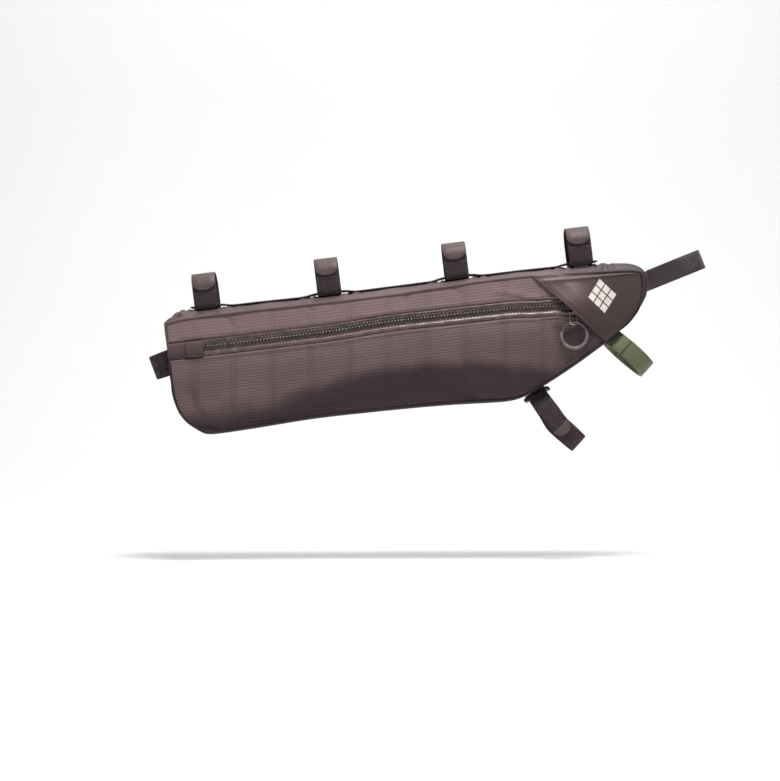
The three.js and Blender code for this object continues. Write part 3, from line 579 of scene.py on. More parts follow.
class FrameBagSizes(bpy.types.PropertyGroup):
    rib_pitch: length("Rib pitch", "Distance between the ripstop's ribs", 0.0031)
    column_pitch: length("Column pitch", "Distance between the ripstop's dotted columns", 0.0408)
    column_width: length("Column width", "Width of a dotted column", 0.0092)
    dot_pitch: length("Dot pitch", "Distance between dots across a dotted column", 0.0023)
    tooth_pitch: length("Tooth pitch", "Distance between zip teeth on one side", 0.0035)
    bead_radius: length("Seam bead", "Radius of the bead along the side seams", 0.0014)
    stitch_length: length("Stitch", "Length of one stitch", 0.0026)
    stitch_gap: length("Stitch gap", "Distance between stitches", 0.0012)
    hem_width: length("Hem", "Width of the patch's turned hem", 0.0062)
    webbing_rib: length("Webbing rib", "Distance between the webbing's ribs", 0.0016)


class FrameBagColours(bpy.types.PropertyGroup):
    ripstop: tint("Ripstop", "Side cloth", (0.150, 0.100, 0.102))
    coated: tint("Coated cloth", "Gusset and patch", (0.092, 0.058, 0.062))
    zip_cloth: tint("Zip cloth", "Coated zip tape", (0.092, 0.060, 0.060))
    teeth: tint("Teeth", "Zip chain and slider", (0.046, 0.033, 0.035))
    hook: tint("Hook and loop", "Straps' loop pile", (0.040, 0.028, 0.031))
    tab: tint("Tab", "Smooth strap ends", (0.084, 0.060, 0.061))
    webbing: tint("Webbing", "Dark webbing", (0.038, 0.023, 0.029))
    accent: tint("Accent", "Olive strap", (0.128, 0.134, 0.066))
    steel: tint("Steel", "Rings", (0.50, 0.45, 0.43))
    sleeve: tint("Sleeve", "Sleeve on the pull ring", (0.150, 0.118, 0.118))
    thread: tint("Thread", "Stitches", (0.040, 0.028, 0.030))
    motif: tint("Motif", "Pale print on the patch", (0.66, 0.58, 0.54))
    floor: tint("Floor", "Floor and backdrop", (0.8, 0.8, 0.8))


def sizes():
    return bpy.context.scene.frame_bag_sizes


def colours():
    return bpy.context.scene.frame_bag_colours


# Materials

FINISHES = {}


def made_once(make):
    """Each finish is made the first time a piece asks for it."""
    def get(*values):
        key = make.__name__ + "".join(f"_{value}" for value in values)
        if key not in FINISHES:
            FINISHES[key] = make(*values)
        return FINISHES[key]
    return get


# Warm, linear tones and pitches that the cloths share
# The colour of the painted shade where the near side turns under
PAINTED_SHADE = (0.026, 0.0135, 0.0175, 1)
WARM_GLINT = (1, 0.84, 0.82, 1)
GRAIN_PITCH = 0.0009


def crossed_grain(x, z):
    """Two fine diagonal waves, crossed."""
    turns = 2 * math.pi / GRAIN_PITCH
    return ((x + z) * turns).sin() * ((x - z) * turns).sin()


@made_once
def ripstop():
    shader = Shader("ripstop", 0.6, Sheen_Weight=0.03, Sheen_Roughness=0.4, Specular_IOR_Level=0.2)
    place = shader.place()
    x, y, z = shader.split(place)
    plumb, _, _ = shader.split(shader.source())
    wander = shader.noise(place, 30, 2) * 0.0011
    ribs = (z + wander).waves(sizes().rib_pitch)
    groove = 1 - ribs.above(0.02, 0.24)
    across = (plumb / sizes().column_pitch + 0.538).fract()
    edge = sizes().column_width / sizes().column_pitch / 2
    column = 1 - (across - 0.5).abs().above(edge * 0.8, edge * 1.1)
    dots = plumb.waves(sizes().dot_pitch).above(0.5, 0.75) * column
    threads = x.waves(0.0011)
    cloud = shader.noise(place, 12, 4)
    wear = shader.noise(place, 55, 3)
    base = shader.between(cloud.above(0.3, 0.72), "ripstop", 0.88, 1.12)
    ribbed = shader.mix(groove * 0.62, base, shade("ripstop", 0.45))
    dashed = shader.mix(dots * (1 - groove) * 0.75, ribbed, shade("ripstop", 0.5))
    marked = shader.mix(dots * groove * 0.7, dashed, shade("ripstop", 1.1))
    rubbed = shader.mix(wear.above(0.56, 0.8) * 0.18, marked, shade("ripstop", 1.5))
    # Painted shade: the near side is darkened where it turns under, towards the nose and along the foot
    middle = (x - 0.01) / 0.15
    ridge = (1 - middle * middle).clamp() * 0.026 - 0.123 + shader.noise(place, 16, 2) * 0.014 + wear * 0.008
    under = (ridge - z).above(-0.006, 0.014)
    nose = (x + (z + 0.09) * 0.25).above(0.164, 0.178) * (-0.0545 - z).above(0, 0.02)
    lower = (-0.056 - z).above(0, 0.03)
    dim = 1 - (1 - under * 0.85) * (1 - nose * 0.6) * (1 - lower * 0.24)
    near = (0 - y).above(0, 0.004)
    # Above the zip the cloth faces the light, and is painted paler
    upper = (z + 0.05).above(0, 0.006) * near
    lit = shader.mix(upper * 0.25, rubbed, shade("ripstop", 1.9))
    shader.colour(shader.mix(dim * near, lit, PAINTED_SHADE))
    shader.rough(0.48 + wear * 0.22 + groove * 0.08)
    shader.bump(ribs * 0.8 + threads * 0.12 - dots * 0.3 + wear * 1.2, 0.0003, 0.7)
    return shader.material


@made_once
def coated():
    shader = Shader("coated_cloth", 0.42, Sheen_Weight=0.02, Sheen_Roughness=0.35, Specular_IOR_Level=0.32)
    place = shader.place()
    x, _, z = shader.split(place)
    grain = crossed_grain(x, z)
    cloud = shader.noise(place, 20, 4)
    crumple = shader.noise(place, 62, 3, 0.5, 0.6)
    base = shader.between(cloud.above(0.3, 0.7), "coated", 0.85, 1.15)
    # Painted shade: the band is darkened low down and towards the nose, where it turns away from the light
    low = (-0.04 - z + cloud * 0.012).above(0, 0.03)
    nose = (x + cloud * 0.02).above(0.19, 0.25)
    dim = 1 - (1 - low * 0.92) * (1 - nose * 0.6)
    shader.colour(shader.mix(dim, base, shade("coated", 0.12)))
    shader.rough(0.38 + crumple * 0.2 + low * 0.25)
    shader.bump(grain * 0.1 + crumple * 2.0 + cloud * 2, 0.0005, 0.5)
    return shader.material


@made_once
def patch_cloth():
    """The coated cloth of the patch, with painted shade that darkens it towards the nose, where it is also
    duller.
    """
    shader = Shader("patch_cloth", 0.4, Specular_IOR_Level=0.4, Specular_Tint=WARM_GLINT)
    place = shader.place()
    x, _, z = shader.split(place)
    grain = crossed_grain(x, z)
    cloud = shader.noise(place, 20, 4)
    crumple = shader.noise(place, 45, 3, 0.5, 0.4)
    towards_nose = (x - z * 0.35 + cloud * 0.02).above(0.175, 0.262)
    base = shader.between(cloud.above(0.3, 0.7), "coated", 0.92, 1.12)
    shader.colour(shader.mix(towards_nose, base, shade("coated", 0.42)))
    shader.rough(0.36 + crumple * 0.16 + towards_nose * 0.08)
    shader.bump(grain * 0.1 + crumple * 1.2 + cloud, 0.0004, 0.4)
    return shader.material


@made_once
def zip_cloth():
    shader = Shader("zip_cloth", 0.4, Coat_Weight=0.15, Specular_Tint=WARM_GLINT)
    place = shader.place()
    x, _, _ = shader.split(place)
    threads = x.waves(0.0012)
    wear = shader.noise(place, 120, 3)
    shader.colour(shader.between(wear.above(0.4, 0.7), "zip_cloth", 0.8, 1.5))
    shader.rough(0.34 + wear * 0.14)
    shader.bump(threads * 0.2 + wear * 0.4, 0.0003, 0.4)
    return shader.material


@made_once
def teeth():
    shader = Shader("zip_teeth", 0.3, Coat_Weight=0.7)
    wear = shader.noise(shader.place(), 60, 2)
    shader.colour(shader.between(wear.above(0.45, 0.75), "teeth", 0.8, 1.6))
    shader.rough(0.18 + wear * 0.16)
    return shader.material


def bore_out(shader, place, centre, tilt):
    """How far a point lies from a round bore's axis: straight down, or turned forwards by the tilt."""
    x, _, z = shader.split(place)
    return (x - centre[0]) * math.sin(tilt) - (z - centre[1]) * math.cos(tilt)


def far_from_axis(shader, place, centre, tilt, limit):
    """1 where a point lies further than limit from a round bore's axis, and the point's bore_out."""
    _, y, _ = shader.split(place)
    out = bore_out(shader, place, centre, tilt)
    radial = (out * out + y * y).sqrt()
    return radial.above(limit, limit + 0.00008), out


@made_once
def hook_and_loop(centre_x, centre_z, tilt, limit, side):
    """Black loop pile. Its outer lap is a smooth tab, under the bore (side 1) or over it (side -1)."""
    shader = Shader("hook_and_loop", 0.92, Sheen_Weight=0.05, Specular_IOR_Level=0.25,
                    Specular_Tint=WARM_GLINT)
    place = shader.place()
    lap, out = far_from_axis(shader, place, (centre_x, centre_z), math.radians(tilt), limit)
    lap = lap * (out * side).above(-0.004, -0.0035)
    fuzz = shader.noise(place, 900, 3, 0.7)
    tufts = shader.noise(place, 330, 2)
    ribs = shader.split(shader.uv())[0].waves(0.0021)
    pile = shader.between(tufts.above(0.3, 0.75), "hook", 0.85, 1.3)
    smooth = shader.between(tufts.above(0.3, 0.8), "tab", 0.85, 1.15)
    shader.colour(shader.mix(lap, pile, smooth))
    shader.rough(0.95 - lap * 0.5 + fuzz * 0.05)
    shader.bump((fuzz * 2 + tufts * 2) * (1 - lap) + ribs * 0.1 * lap, 0.0007, 0.9)
    return shader.material


def woven(name, colour, roughness, rib, twill):
    """Webbing: ribs along the strap, crossed by a fine twill. UV runs in metres, across and then along."""
    shader = Shader(name, roughness, Sheen_Weight=0.08, Sheen_Roughness=0.4)
    u, v, _ = shader.split(shader.uv())
    ribs = u.waves(rib)
    weave = (v + u * twill).waves(0.0017)
    cloud = shader.noise(shader.place(), 70, 3)
    tone = shader.between(ribs * 0.5 + weave * 0.5, colour, 0.45, 1.35)
    shader.colour(shader.mix(cloud.above(0.35, 0.7) * 0.5, tone, shade(colour, 0.8)))
    shader.rough(roughness - 0.06 + cloud * 0.16)
    shader.bump(ribs * weave + cloud * 0.4, 0.0004, 0.8)
    return shader.material


@made_once
def webbing():
    return woven("webbing", "webbing", 0.5, sizes().webbing_rib * 1.6, 1)


@made_once
def accent():
    """Olive webbing: ribbed lengthways up to a stitched line, and finely crosswoven beyond it."""
    shader = Shader("accent_webbing", 0.66, Sheen_Weight=0.08, Sheen_Roughness=0.4)
    u, v, _ = shader.split(shader.uv())
    place = shader.place()
    out = bore_out(shader, place, ACCENT_CENTRE, math.radians(LOWER_TILT))
    beyond = out.above(-0.0066, -0.0060)
    line = 1 - (out + 0.0062).abs().above(0.0004, 0.0009)
    ribs = u.waves(0.0019) * (1 - beyond)
    weave = (v + u * 0.3).waves(0.0012) * beyond
    cloud = shader.noise(place, 70, 3)
    tone = shader.between(ribs * 0.6 + weave * 0.3 + cloud * 0.3, "accent", 0.62, 1.25)
    shader.colour(shader.mix(line, tone, shade("accent", 0.22)))
    shader.rough(0.6 + cloud * 0.16)
    shader.bump(ribs + weave * 0.6 + cloud * 0.4 - line, 0.0004, 0.8)
    return shader.material


@made_once
def steel():
    shader = Shader("steel", 0.22, 1)
    scratch = shader.noise(shader.place(), 600, 3)
    shader.colour(shader.between(scratch, "steel", 0.85, 1.15))
    shader.rough(0.14 + scratch * 0.2)
    return shader.material


@made_once
def sleeve():
    shader = Shader("sleeve", 0.5)
    wear = shader.noise(shader.place(), 240, 3)
    low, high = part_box("pull_ring")
    _, _, z = shader.split(shader.source())
    cord = z.above((low + high).z / 2 + 0.004, (low + high).z / 2 + 0.0046)
    covered = shader.between(wear.above(0.35, 0.7), "sleeve", 0.8, 1.25)
    shader.colour(shader.mix(cord, covered, shade("webbing", 1.6)))
    shader.rough(0.42 + wear * 0.2)
    shader.bump(wear, 0.0002, 0.5)
    return shader.material


@made_once
def thread():
    shader = Shader("thread", 0.7, Specular_IOR_Level=0.2)
    twist = shader.noise(shader.place(), 1500, 2)
    shader.colour(shader.between(twist, "thread", 0.7, 1.3))
    return shader.material


@made_once
def pale_print():
    shader = Shader("pale_print", 0.55)
    wear = shader.noise(shader.place(), 420, 3)
    shader.colour(shader.between(wear.above(0.35, 0.7), "motif", 0.86, 1.04))
    shader.rough(0.48 + wear * 0.16)
    return shader.material


@made_once
def floor():
    shader = Shader("floor", 0.9)
    wear = shader.noise(shader.source(), 1.5, 2)
    shader.colour(shader.between(wear, "floor", 0.985, 1.015))
    return shader.material


# Cloth sides

def rise_at_zip(offset):
    """For all RUNS, the rise where the side meets the line offset from the zip's centre."""
    def past(rise):
        point = side_point(RUNS, rise)
        return point[..., 2] > zip_centre(point[..., 0]) + offset
    return bisect(np.zeros_like(RUNS), np.ones_like(RUNS), past)


def run_at_patch(past_by):
    """For many rises, the run where the side passes the patch's free edge by a distance."""
    rise = np.linspace(0, 1, 121)

    def past(run):
        point = side_point(run, rise)
        return past_patch(point[..., 0], point[..., 2]) > past_by
    return rise, bisect(np.full_like(rise, 0.5), np.ones_like(rise), past)


def rolled_edge(distance):
    """Height of the rolled hem at a distance from its fold."""
    return 0.0005 * bell(distance, 0.0022, 0.0016) - 0.0013 * bell(distance, 0, 0.0011)


def near_cloth(low_rise, high_rise, hem_low, hem_high):
    """The near side between two rises, given for all RUNS, as far as the patch's lap."""
    patch_rise, patch_run = run_at_patch(PATCH_LAP)

    def place(s, t):
        # run and rise hang on each other, so both close in on their values from a first guess
        run, rise = s * 0.85, t
        for _ in range(12):
            low, high = np.interp(run, RUNS, low_rise), np.interp(run, RUNS, high_rise)
            rise = low + (high - low) * t
            run = s * np.interp(rise, patch_rise, patch_run)
        points = side_point(run, rise)
        normal = side_normal(run, rise)
        inside = smoothstep(np.minimum(t, 1 - t), 0, 0.05) * smoothstep(s, 0, 0.02)
        lift = near_folds(points) * inside
        height = (high - low) * DEPTH * 0.85
        lift += hem_low * rolled_edge(t * height) + hem_high * rolled_edge((1 - t) * height)
        return points + normal * lift[..., None]
    return place


class FRAMEBAG_OT_sides(bpy.types.Operator):
    """Make the ripstop sides above and below the zip and on the far side"""
    bl_idname = "frame_bag.sides"
    bl_label = "Ripstop sides"

    def execute(self, context):
        lower = grid_mesh(330, 92, near_cloth(np.zeros_like(RUNS), rise_at_zip(-ZIP_BELOW), 0, 1))
        lower = new_piece("side_lower", lower, ripstop(), ["near_panel_lower"], "ripstop")
        upper = grid_mesh(330, 26, near_cloth(rise_at_zip(ZIP_ABOVE), np.ones_like(RUNS), 1, 0))
        upper = new_piece("side_upper", upper, ripstop(), ["near_panel_upper"], "ripstop")

        def far(s, t):
            points = side_point(s, t)
            inside = smoothstep(np.minimum(t, 1 - t), 0, 0.06) * smoothstep(np.minimum(s, 1 - s), 0, 0.02)
            lift = near_folds(points * [-1, 1, 1] + [0.02, 0, 0]) * 0.8 * inside
            return points + side_normal(s, t) * lift[..., None]
        far = new_piece("side_far", grid_mesh(300, 80, far, True), ripstop(), ["far_panel"], "ripstop")
        for obj, flat, area in (
            (lower, (0.096, 0.465), 0.0360),
            (upper, (0.038, 0.426), 0.0105),
            (far, (0.130, 0.508), 0.0579),
        ):
            add_wall(obj, PANEL_WALL)
        return {"FINISHED"}


class FRAMEBAG_OT_gusset(bpy.types.Operator):
    """Make the coated band that runs all round between the sides"""
    bl_idname = "frame_bag.gusset"
    bl_label = "Gusset"

    def execute(self, context):
        obj = new_piece("gusset_cloth", cad_mesh("gusset"), coated(), ["gusset"], "coated_cloth")
        bake_subdivided(obj)
        mesh = bmesh.new()
        mesh.from_mesh(obj.data)
        co = np.array([v.co for v in mesh.verts]) @ np.array(TO_WORLD)
        normals = np.array([v.normal for v in mesh.verts])
        # Puckers beside the top straps, crumples above and facets at the rear top, in millimetres
        x, y, z = (co * 1000).T
        nearest = np.min([np.abs(x - strap * 1000) for strap in TOP_STRAPS], axis=0)
        near_strap = smoothstep(nearest, 8, 13) * (1 - smoothstep(nearest, 22, 44))
        middle = 1 - smoothstep(np.abs(y), 18, 21.2)
        pucker = near_strap * np.sin(x * 0.55 + np.abs(y) * 0.3) * 1.4 * smoothstep(z, -60, -35)
        crumple = 0.35 * np.sin(x / 7 + 2 * np.sin(y / 6)) * np.sin(z / 9 + y / 11) * smoothstep(z, -95, -50)
        rear_top = bell(x, -232, 22) * smoothstep(z, -40, -18)
        facets = rear_top * (np.abs(np.sin(x / 6.5 + y / 8)) + np.abs(np.sin(y / 5.5 - x / 11)) - 1) * 3.2
        lift = (pucker + crumple + facets) * middle / 1000
        for vert, step, normal in zip(mesh.verts, lift, normals):
            vert.co += Vector(normal * step)
        mesh.to_mesh(obj.data)
        mesh.free()
        return {"FINISHED"}


class FRAMEBAG_OT_patch(bpy.types.Operator):
    """Make the smooth patch over the nose end"""
    bl_idname = "frame_bag.patch"
    bl_label = "Nose patch"

    def execute(self, context):
        patch_rise, patch_run = run_at_patch(0)
        hem = sizes().hem_width

        def place(s, t):
            start = np.interp(t, patch_rise, patch_run)
            run = start + (1 - start) * s
            points = side_point(run, t)
            normal = side_normal(run, t)
            x, z = points[:, 0], points[:, 2]
            past = past_patch(x, z)
            lift = patch_lift(x, z)
            lift += 0.0003 * (1 - smoothstep(past, hem * 0.8, hem * 1.2))
            # A raised line under the top seam, a sunken one by the nose seam and a curl at the top corner
            lift += 0.0010 * bell((1 - t) * 0.075, 0.0046, 0.0013)
            lift -= 0.0012 * bell((1 - s) * 0.1, 0.004, 0.002)
            from_corner = np.hypot(x - PATCH_TOP[0], z - PATCH_TOP[2] + 0.006)
            lift += 0.0012 * bell(from_corner, 0, 0.02) * smoothstep(past, -0.001, 0.01)
            # Ripples along the lower seam
            lift += 0.15e-3 * np.sin(x * 260 + z * 140) * smoothstep(t, 0, 0.1) * (1 - s)
            return points + normal * lift[:, None]
        mesh = grid_mesh(120, 110, place)
        obj = new_piece("nose_cover", mesh, patch_cloth(), ["nose_patch"], "coated_cloth")
        add_wall(obj, PATCH_WALL)
        return {"FINISHED"}


# Seams and stitches

def seam_line():
    """The near seam once round the side, in the bag's own frame."""
    run = np.linspace(0, 1, 260)
    rise = np.linspace(0, 1, 70)
    return np.concatenate([
        side_point(run, 1)[:-1],
        side_point(1, rise[::-1])[:-1],
        side_point(run[::-1], 0)[:-1],
        side_point(0, rise)[:-1],
    ])


def stitch_mesh(lines, radius=0.00032):
    """Rows of short capsules along lines of (points, normals), in the bag's own frame."""
    mesh = bmesh.new()
    step = sizes().stitch_length + sizes().stitch_gap
    for points, normals in lines:
        distance = np.concatenate([[0], np.cumsum(np.linalg.norm(np.diff(points, axis=0), axis=1))])

        def at_distance(rows, place):
            return np.array([np.interp(place, distance, rows[:, axis]) for axis in range(3)])

        for start in np.arange(step / 2, distance[-1] - sizes().stitch_length, step):
            ends = [at_distance(points, place) for place in (start, start + sizes().stitch_length)]
            normal = Vector(at_distance(normals, start)).normalized()
            forward = Vector(ends[1] - ends[0])
            size = forward.length
            forward.normalize()
            sideways = normal.cross(forward).normalized()
            basis = Matrix((forward, sideways, normal)).transposed()
            made = bmesh.ops.create_icosphere(mesh, subdivisions=1, radius=1)["verts"]
            bmesh.ops.scale(mesh, verts=made, vec=(size / 2, radius, radius * 0.8))
            centre = Vector((ends[0] + ends[1]) / 2) + normal * radius * 0.2
            transform = Matrix.Translation(TO_WORLD @ centre) @ (TO_WORLD @ basis).to_4x4()
            bmesh.ops.transform(mesh, matrix=transform, verts=made)
    return mesh


class FRAMEBAG_OT_seams(bpy.types.Operator):
    """Run the seam beads round both sides and sew the stitch rows"""
    bl_idname = "frame_bag.seams"
    bl_label = "Seams and stitches"

    def execute(self, context):
        radius = sizes().bead_radius
        for name, side in ("near_seam_bead", 1), ("far_seam_bead", -1):
            line = seam_line() * [1, side, 1]
            curve_piece(name, to_world(line), radius, coated())
        rows = []
        zip_x = np.linspace(along(0.02), ZIP_END - 0.004, 200)
        for offset in (ZIP_ABOVE + STITCH_INSET, -ZIP_BELOW - STITCH_INSET):
            rows.append(on_side(zip_x, zip_centre(zip_x) + offset, STITCH_PROUD))
        across = np.array([-PATCH_LINE[1], PATCH_LINE[0]])
        span = np.linspace(0.006, 0.118, 120)
        for inset in (0.0035, 0.0058):
            x = PATCH_TOP[0] + PATCH_LINE[0] * span + across[0] * inset
            z = PATCH_TOP[2] + PATCH_LINE[1] * span + across[1] * inset
            inside = PATCH_LOW[2] + 0.004 < z
            x, z = x[inside], z[inside]
            rows.append(on_side(x, z, patch_lift(x, z) + STITCH_PROUD))
        top_run = np.linspace(0.70, 0.985, 120)
        for rise in (0.955, 0.925):
            points = side_point(top_run, rise)
            lift = patch_lift(points[:, 0], points[:, 2])
            normals = side_normal(top_run, rise)
            rows.append((points + normals * lift[:, None], normals))
        new_piece("stitches", stitch_mesh(rows), thread(), [], "black_webbing")
        return {"FINISHED"}


# Zip

class FRAMEBAG_OT_zip(bpy.types.Operator):
    """Make the zip's glossy cloth, its chain, the end tab and the slider"""
    bl_idname = "frame_bag.zip"
    bl_label = "Zip"

    def execute(self, context):
        offsets, heights = np.array(ZIP_PROFILE).T / 1000
        start = along(ZIP_START_AT)
        tail = along(ZIP_TAIL_AT)

        def place(s, t):
            x = tail + (ZIP_END + SLIDER_TUCK + PATCH_LAP - tail) * s
            offset = offsets[0] + (offsets[-1] - offsets[0]) * t
            ripple = 0.12e-3 * np.sin(x * 320) * smoothstep(np.abs(offset + 0.001), 0.004, 0.006)
            points, _ = on_side(x, zip_centre(x) + offset, np.interp(offset, offsets, heights) + ripple)
            return points
        obj = new_piece("zip_cloth", grid_mesh(300, 40, place), zip_cloth(), ["zip_tape"], "zip_black")
        add_wall(obj, 0.0005)
        new_piece("zip_teeth", self.chain(start), teeth(), ["zip_chain"], "zip_black")

        def tab(s, t):
            x = tail + (start + 0.032 - tail) * s
            offset = -0.0092 + 0.0154 * t
            lift = 0.0008 + 0.0018 * smoothstep(x, start + 0.0125, start + 0.0135)
            lift -= 0.0006 * (2 * t - 1) ** 4 + 0.0012 * smoothstep(s, 0.985, 1)
            return on_side(x, zip_centre(x) + offset, lift)[0]
        mesh = grid_mesh(60, 20, tab)
        end_tab = new_piece("zip_end_cloth", mesh, coated(), ["zip_end_tab"], "coated_cloth")
        add_wall(end_tab, 0.0012)
        slider = new_piece("zip_slider_body", cad_mesh("zip_slider"), teeth(), ["zip_slider"], "zip_black")
        bevel = slider.modifiers.new("Edges", "BEVEL")
        bevel.width = 0.0003
        bevel.segments = 2
        bevel.limit_method = "ANGLE"
        return {"FINISHED"}

    def chain(self, start):
        """Two staggered rows of teeth."""
        mesh = bmesh.new()
        pitch = sizes().tooth_pitch
        count = int((ZIP_END + SLIDER_TUCK + PATCH_LAP / 2 - start - CHAIN_INSET) / pitch)
        for row, side in enumerate((1, -1)):
            x = start + CHAIN_INSET + (np.arange(count) + row / 2) * pitch
            z = zip_centre(x)
            origin, normal = on_side(x, z, 0.0002)
            ahead, _ = on_side(x + 0.001, zip_centre(x + 0.001), 0.0002)
            for centre, out, forward in zip(origin, normal, ahead - origin):
                out, forward = Vector(out), Vector(forward).normalized()
                up = out.cross(forward).normalized()
                basis = Matrix((forward, up, out)).transposed()
                made = bmesh.ops.create_cube(mesh, size=1)["verts"]
                bmesh.ops.scale(mesh, verts=made, vec=(pitch * 0.5, TOOTH_WIDTH, TOOTH_HEIGHT))
                inner = [v for v in made if v.co.y * side < 0]
                bmesh.ops.scale(mesh, verts=inner, vec=(0.72, 1, 0.85))
                place = Matrix.Translation(TO_WORLD @ (Vector(centre) + up * side * TOOTH_OFFSET))
                bmesh.ops.transform(mesh, matrix=place @ (TO_WORLD @ basis).to_4x4(), verts=made)
        bmesh.ops.bevel(mesh, geom=mesh.edges, offset=0.0003, segments=1, profile=0.5, affect="EDGES",
                        material=-1)
        return mesh


class FRAMEBAG_OT_pull(bpy.types.Operator):
    """Make the small link and the round pull with its sleeve"""
    bl_idname = "frame_bag.pull"
    bl_label = "Zip pull"

    def execute(self, context):
        wire_piece("pull_link_wire", "pull_link", 0.0002, steel(), "bright_steel")
        wire_piece("pull_ring_wire", "pull_ring", 0.0004, sleeve(), "grey_sleeve")
        return {"FINISHED"}


# Straps

def strap_uv(obj, centre, across):
    """UV in metres: across the strap, and round its bore."""
    centre = TO_WORLD @ Vector((centre[0], 0, centre[1]))
    across = (TO_WORLD @ Vector(across)).normalized()
    sideways = Vector((0, 1, 0))
    out = across.cross(sideways).normalized()
    layer = obj.data.uv_layers.new(name="strap")
    for loop in obj.data.loops:
        place = obj.data.vertices[loop.vertex_index].co - centre
        turn = math.atan2(place.dot(sideways), place.dot(out))
        layer.data[loop.index].uv = (place.dot(across), turn * UV_RADIUS)


def strap(name, node, material, slot, centre, tilt):
    """A strap from its CAD node. centre is its bore's, and tilt is that of its width, in degrees."""
    obj = new_piece(name, cad_mesh(node), material, [node], slot)
    bake_subdivided(obj)
    strap_uv(obj, centre, (math.cos(math.radians(tilt)), 0, math.sin(math.radians(tilt))))


def centre_of(node):
    """x and z of the middle of a CAD node's box, in the bag's own frame."""
    low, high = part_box(node)
    middle = TO_WORLD.transposed() @ ((low + high) / 2)
    return middle.x, middle.z


class FRAMEBAG_OT_straps(bpy.types.Operator):
    """Make the hook-and-loop straps, the webbing and the ring"""
    bl_idname = "frame_bag.straps"
    bl_label = "Straps"

    def execute(self, context):
        axis_height = GAP + TOP_BORE / 2
        for index, x in enumerate(TOP_STRAPS, 1):
            finish = hook_and_loop(0, axis_height, 0, TOP_BORE / 2 + TAB_LAP, -1)
            node = f"top_strap_{index}"
            strap(f"top_strap_cloth_{index}", node, finish, "hook_and_loop", (x, axis_height), 0)
        lower = centre_of("lower_strap")
        finish = hook_and_loop(*ACCENT_CENTRE, LOWER_TILT, LOWER_BORE / 2 + TAB_LAP, 1)
        strap("lower_strap_cloth", "lower_strap", finish, "hook_and_loop", lower, LOWER_TILT)
        rear = centre_of("rear_strap")
        finish = hook_and_loop(*rear, REAR_TILT, NO_TAB, 1)
        strap("rear_strap_cloth", "rear_strap", finish, "hook_and_loop", rear, REAR_TILT)
        strap("accent_strap_cloth", "accent_strap", accent(), "olive_strap", ACCENT_CENTRE, LOWER_TILT)
        for node, centre, tilt in (
            ("nose_strap", centre_of("nose_strap"), NOSE_TILT),
            ("lash_webbing", (0, -0.02), 0),
            ("ring_chape", centre_of("ring_chape"), CHAPE_TILT),
        ):
            strap(f"{node}_cloth", node, webbing(), "black_webbing", centre, tilt)
        wire_piece("strap_ring_wire", "strap_ring", 0.0003, steel(), "bright_steel")
        return {"FINISHED"}


class FRAMEBAG_OT_motif(bpy.types.Operator):
    """Lay a plain pale lattice on the patch"""
    bl_idname = "frame_bag.motif"
    bl_label = "Patch motif"

    def execute(self, context):
        mesh = bmesh.new()
        bmesh.ops.create_grid(mesh, x_segments=3, y_segments=3, size=0.5)
        rims = bmesh.ops.inset_individual(mesh, faces=mesh.faces, thickness=0.024,
                                          use_even_offset=True)["faces"]
        bmesh.ops.delete(mesh, geom=rims, context="FACES")
        bmesh.ops.subdivide_edges(mesh, edges=mesh.edges, cuts=3, use_grid_fill=True)
        eighth = Matrix.Rotation(math.radians(45), 3, "Z")
        bmesh.ops.rotate(mesh, verts=mesh.verts, cent=(0, 0, 0), matrix=eighth)
        share = np.array([v.co for v in mesh.verts])
        x = MOTIF_CENTRE[0] + MOTIF_SIZE[0] * share[:, 0]
        z = MOTIF_CENTRE[1] + MOTIF_SIZE[1] * share[:, 1]
        points, _ = on_side(x, z, patch_lift(x, z) + 0.00025)
        for vert, point in zip(mesh.verts, to_world(points)):
            vert.co = point
        new_piece("patch_motif", mesh, pale_print(), [], "coated_cloth")
        return {"FINISHED"}


# Stage

def area_light(name, place, target, size, energy):
    data = bpy.data.lights.new(name, "AREA")
    data.shape = "RECTANGLE"
    data.size, data.size_y = size
    data.energy = energy
    obj = linked(name, data)
    obj.location = place
    obj.rotation_euler = (Vector(target) - Vector(place)).to_track_quat("-Z", "Y").to_euler()


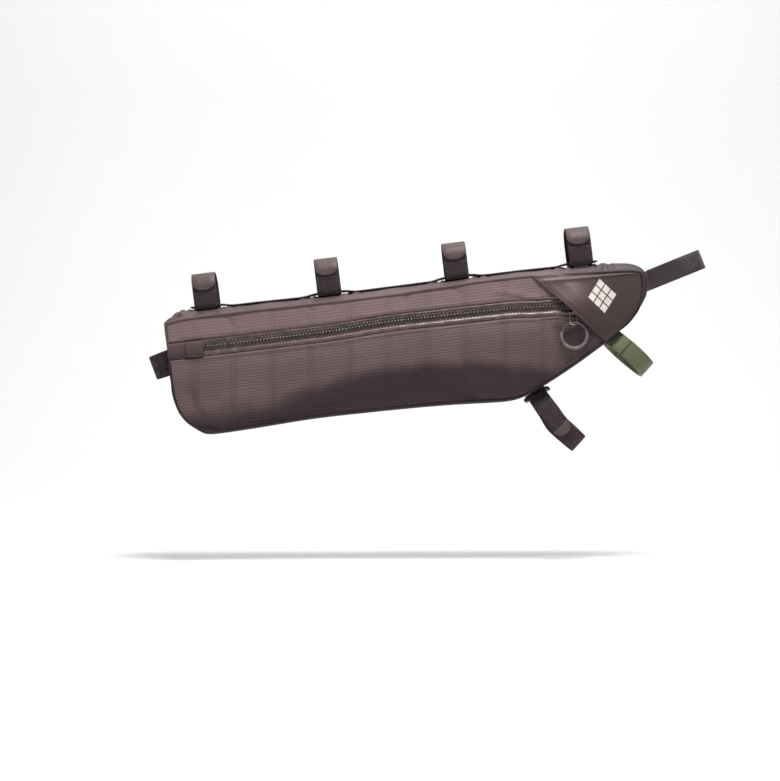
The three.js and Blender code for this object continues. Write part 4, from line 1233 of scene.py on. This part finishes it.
class FRAMEBAG_OT_stage(bpy.types.Operator):
    """Set the pale floor and backdrop, the soft lights and the camera"""
    bl_idname = "frame_bag.stage"
    bl_label = "Stage"

    def execute(self, context):
        mesh = bmesh.new()
        bmesh.ops.create_grid(mesh, x_segments=2, y_segments=60, size=0.5)
        floor_z = CAD_BOX[0][2] - FLOOR_DROP
        # A flat floor, a quarter round of 0.8 m and a wall
        for vert in mesh.verts:
            share = vert.co.y + 0.5
            bend = min(max((share - 0.6) / 0.2, 0), 1)
            angle = bend * math.pi / 2
            depth = -3.5 + min(share, 0.6) / 0.6 * 4.6 + 0.8 * math.sin(angle)
            height = 0.8 * (1 - math.cos(angle)) + max(share - 0.8, 0) / 0.2 * 3
            vert.co = (vert.co.x * 12, depth, floor_z + height)
        backdrop = linked("floor", mesh_data("floor", mesh))
        backdrop.data.materials.append(floor())

        middle = (0, 0, -0.07)
        area_light("key", (0.25, -0.82, 1.75), middle, (0.8, 0.5), 54)
        area_light("top", (0.3, 0.5, 1.6), middle, (1.4, 0.6), 5)
        area_light("front_fill", (0.5, -2.6, 0.1), middle, (1.8, 1.2), 2)
        area_light("backdrop_wash", (0, 0.4, 2.4), (0, 2.2, 0.0), (4, 1), 45)
        context.scene.view_settings.view_transform = "Standard"
        world = bpy.data.worlds.new("Studio")
        context.scene.world = world
        world.use_nodes = True
        background = world.node_tree.nodes["Background"]
        background.inputs["Color"].default_value = (1, 1, 1, 1)
        background.inputs["Strength"].default_value = 0.12

        camera = bpy.data.cameras.new("camera")
        camera.lens = 85
        camera.sensor_width = 36
        obj = linked("camera", camera)
        obj.location = (0, VIEW_FRONT - VIEW_WIDTH * camera.lens / camera.sensor_width, VIEW_HEIGHT)
        obj.rotation_euler = (math.pi / 2, 0, 0)
        context.scene.camera = obj
        return {"FINISHED"}


class FRAMEBAG_PT_panel(bpy.types.Panel):
    """Lists the bag's sizes, colours and pieces"""
    bl_idname = "FRAMEBAG_PT_panel"
    bl_label = "Frame bag"
    bl_space_type = "VIEW_3D"
    bl_region_type = "UI"
    bl_category = "Frame bag"

    def draw(self, context):
        for group in (sizes(), colours()):
            for name in group.__annotations__:
                self.layout.prop(group, name)
        for operator in OPERATORS:
            self.layout.operator(operator.bl_idname)


OPERATORS = [
    FRAMEBAG_OT_gusset,
    FRAMEBAG_OT_sides,
    FRAMEBAG_OT_patch,
    FRAMEBAG_OT_seams,
    FRAMEBAG_OT_zip,
    FRAMEBAG_OT_pull,
    FRAMEBAG_OT_straps,
    FRAMEBAG_OT_motif,
    FRAMEBAG_OT_stage,
]
CLASSES = [FrameBagSizes, FrameBagColours, *OPERATORS, FRAMEBAG_PT_panel]


def register():
    for cls in CLASSES:
        bpy.utils.register_class(cls)
    bpy.types.Scene.frame_bag_sizes = PointerProperty(type=FrameBagSizes)
    bpy.types.Scene.frame_bag_colours = PointerProperty(type=FrameBagColours)


def unregister():
    del bpy.types.Scene.frame_bag_colours
    del bpy.types.Scene.frame_bag_sizes
    for cls in reversed(CLASSES):
        bpy.utils.unregister_class(cls)


def main():
    register()
    for operator in OPERATORS:
        group, name = operator.bl_idname.split(".")
        getattr(getattr(bpy.ops, group), name)()


if __name__ == "__main__":
    main()
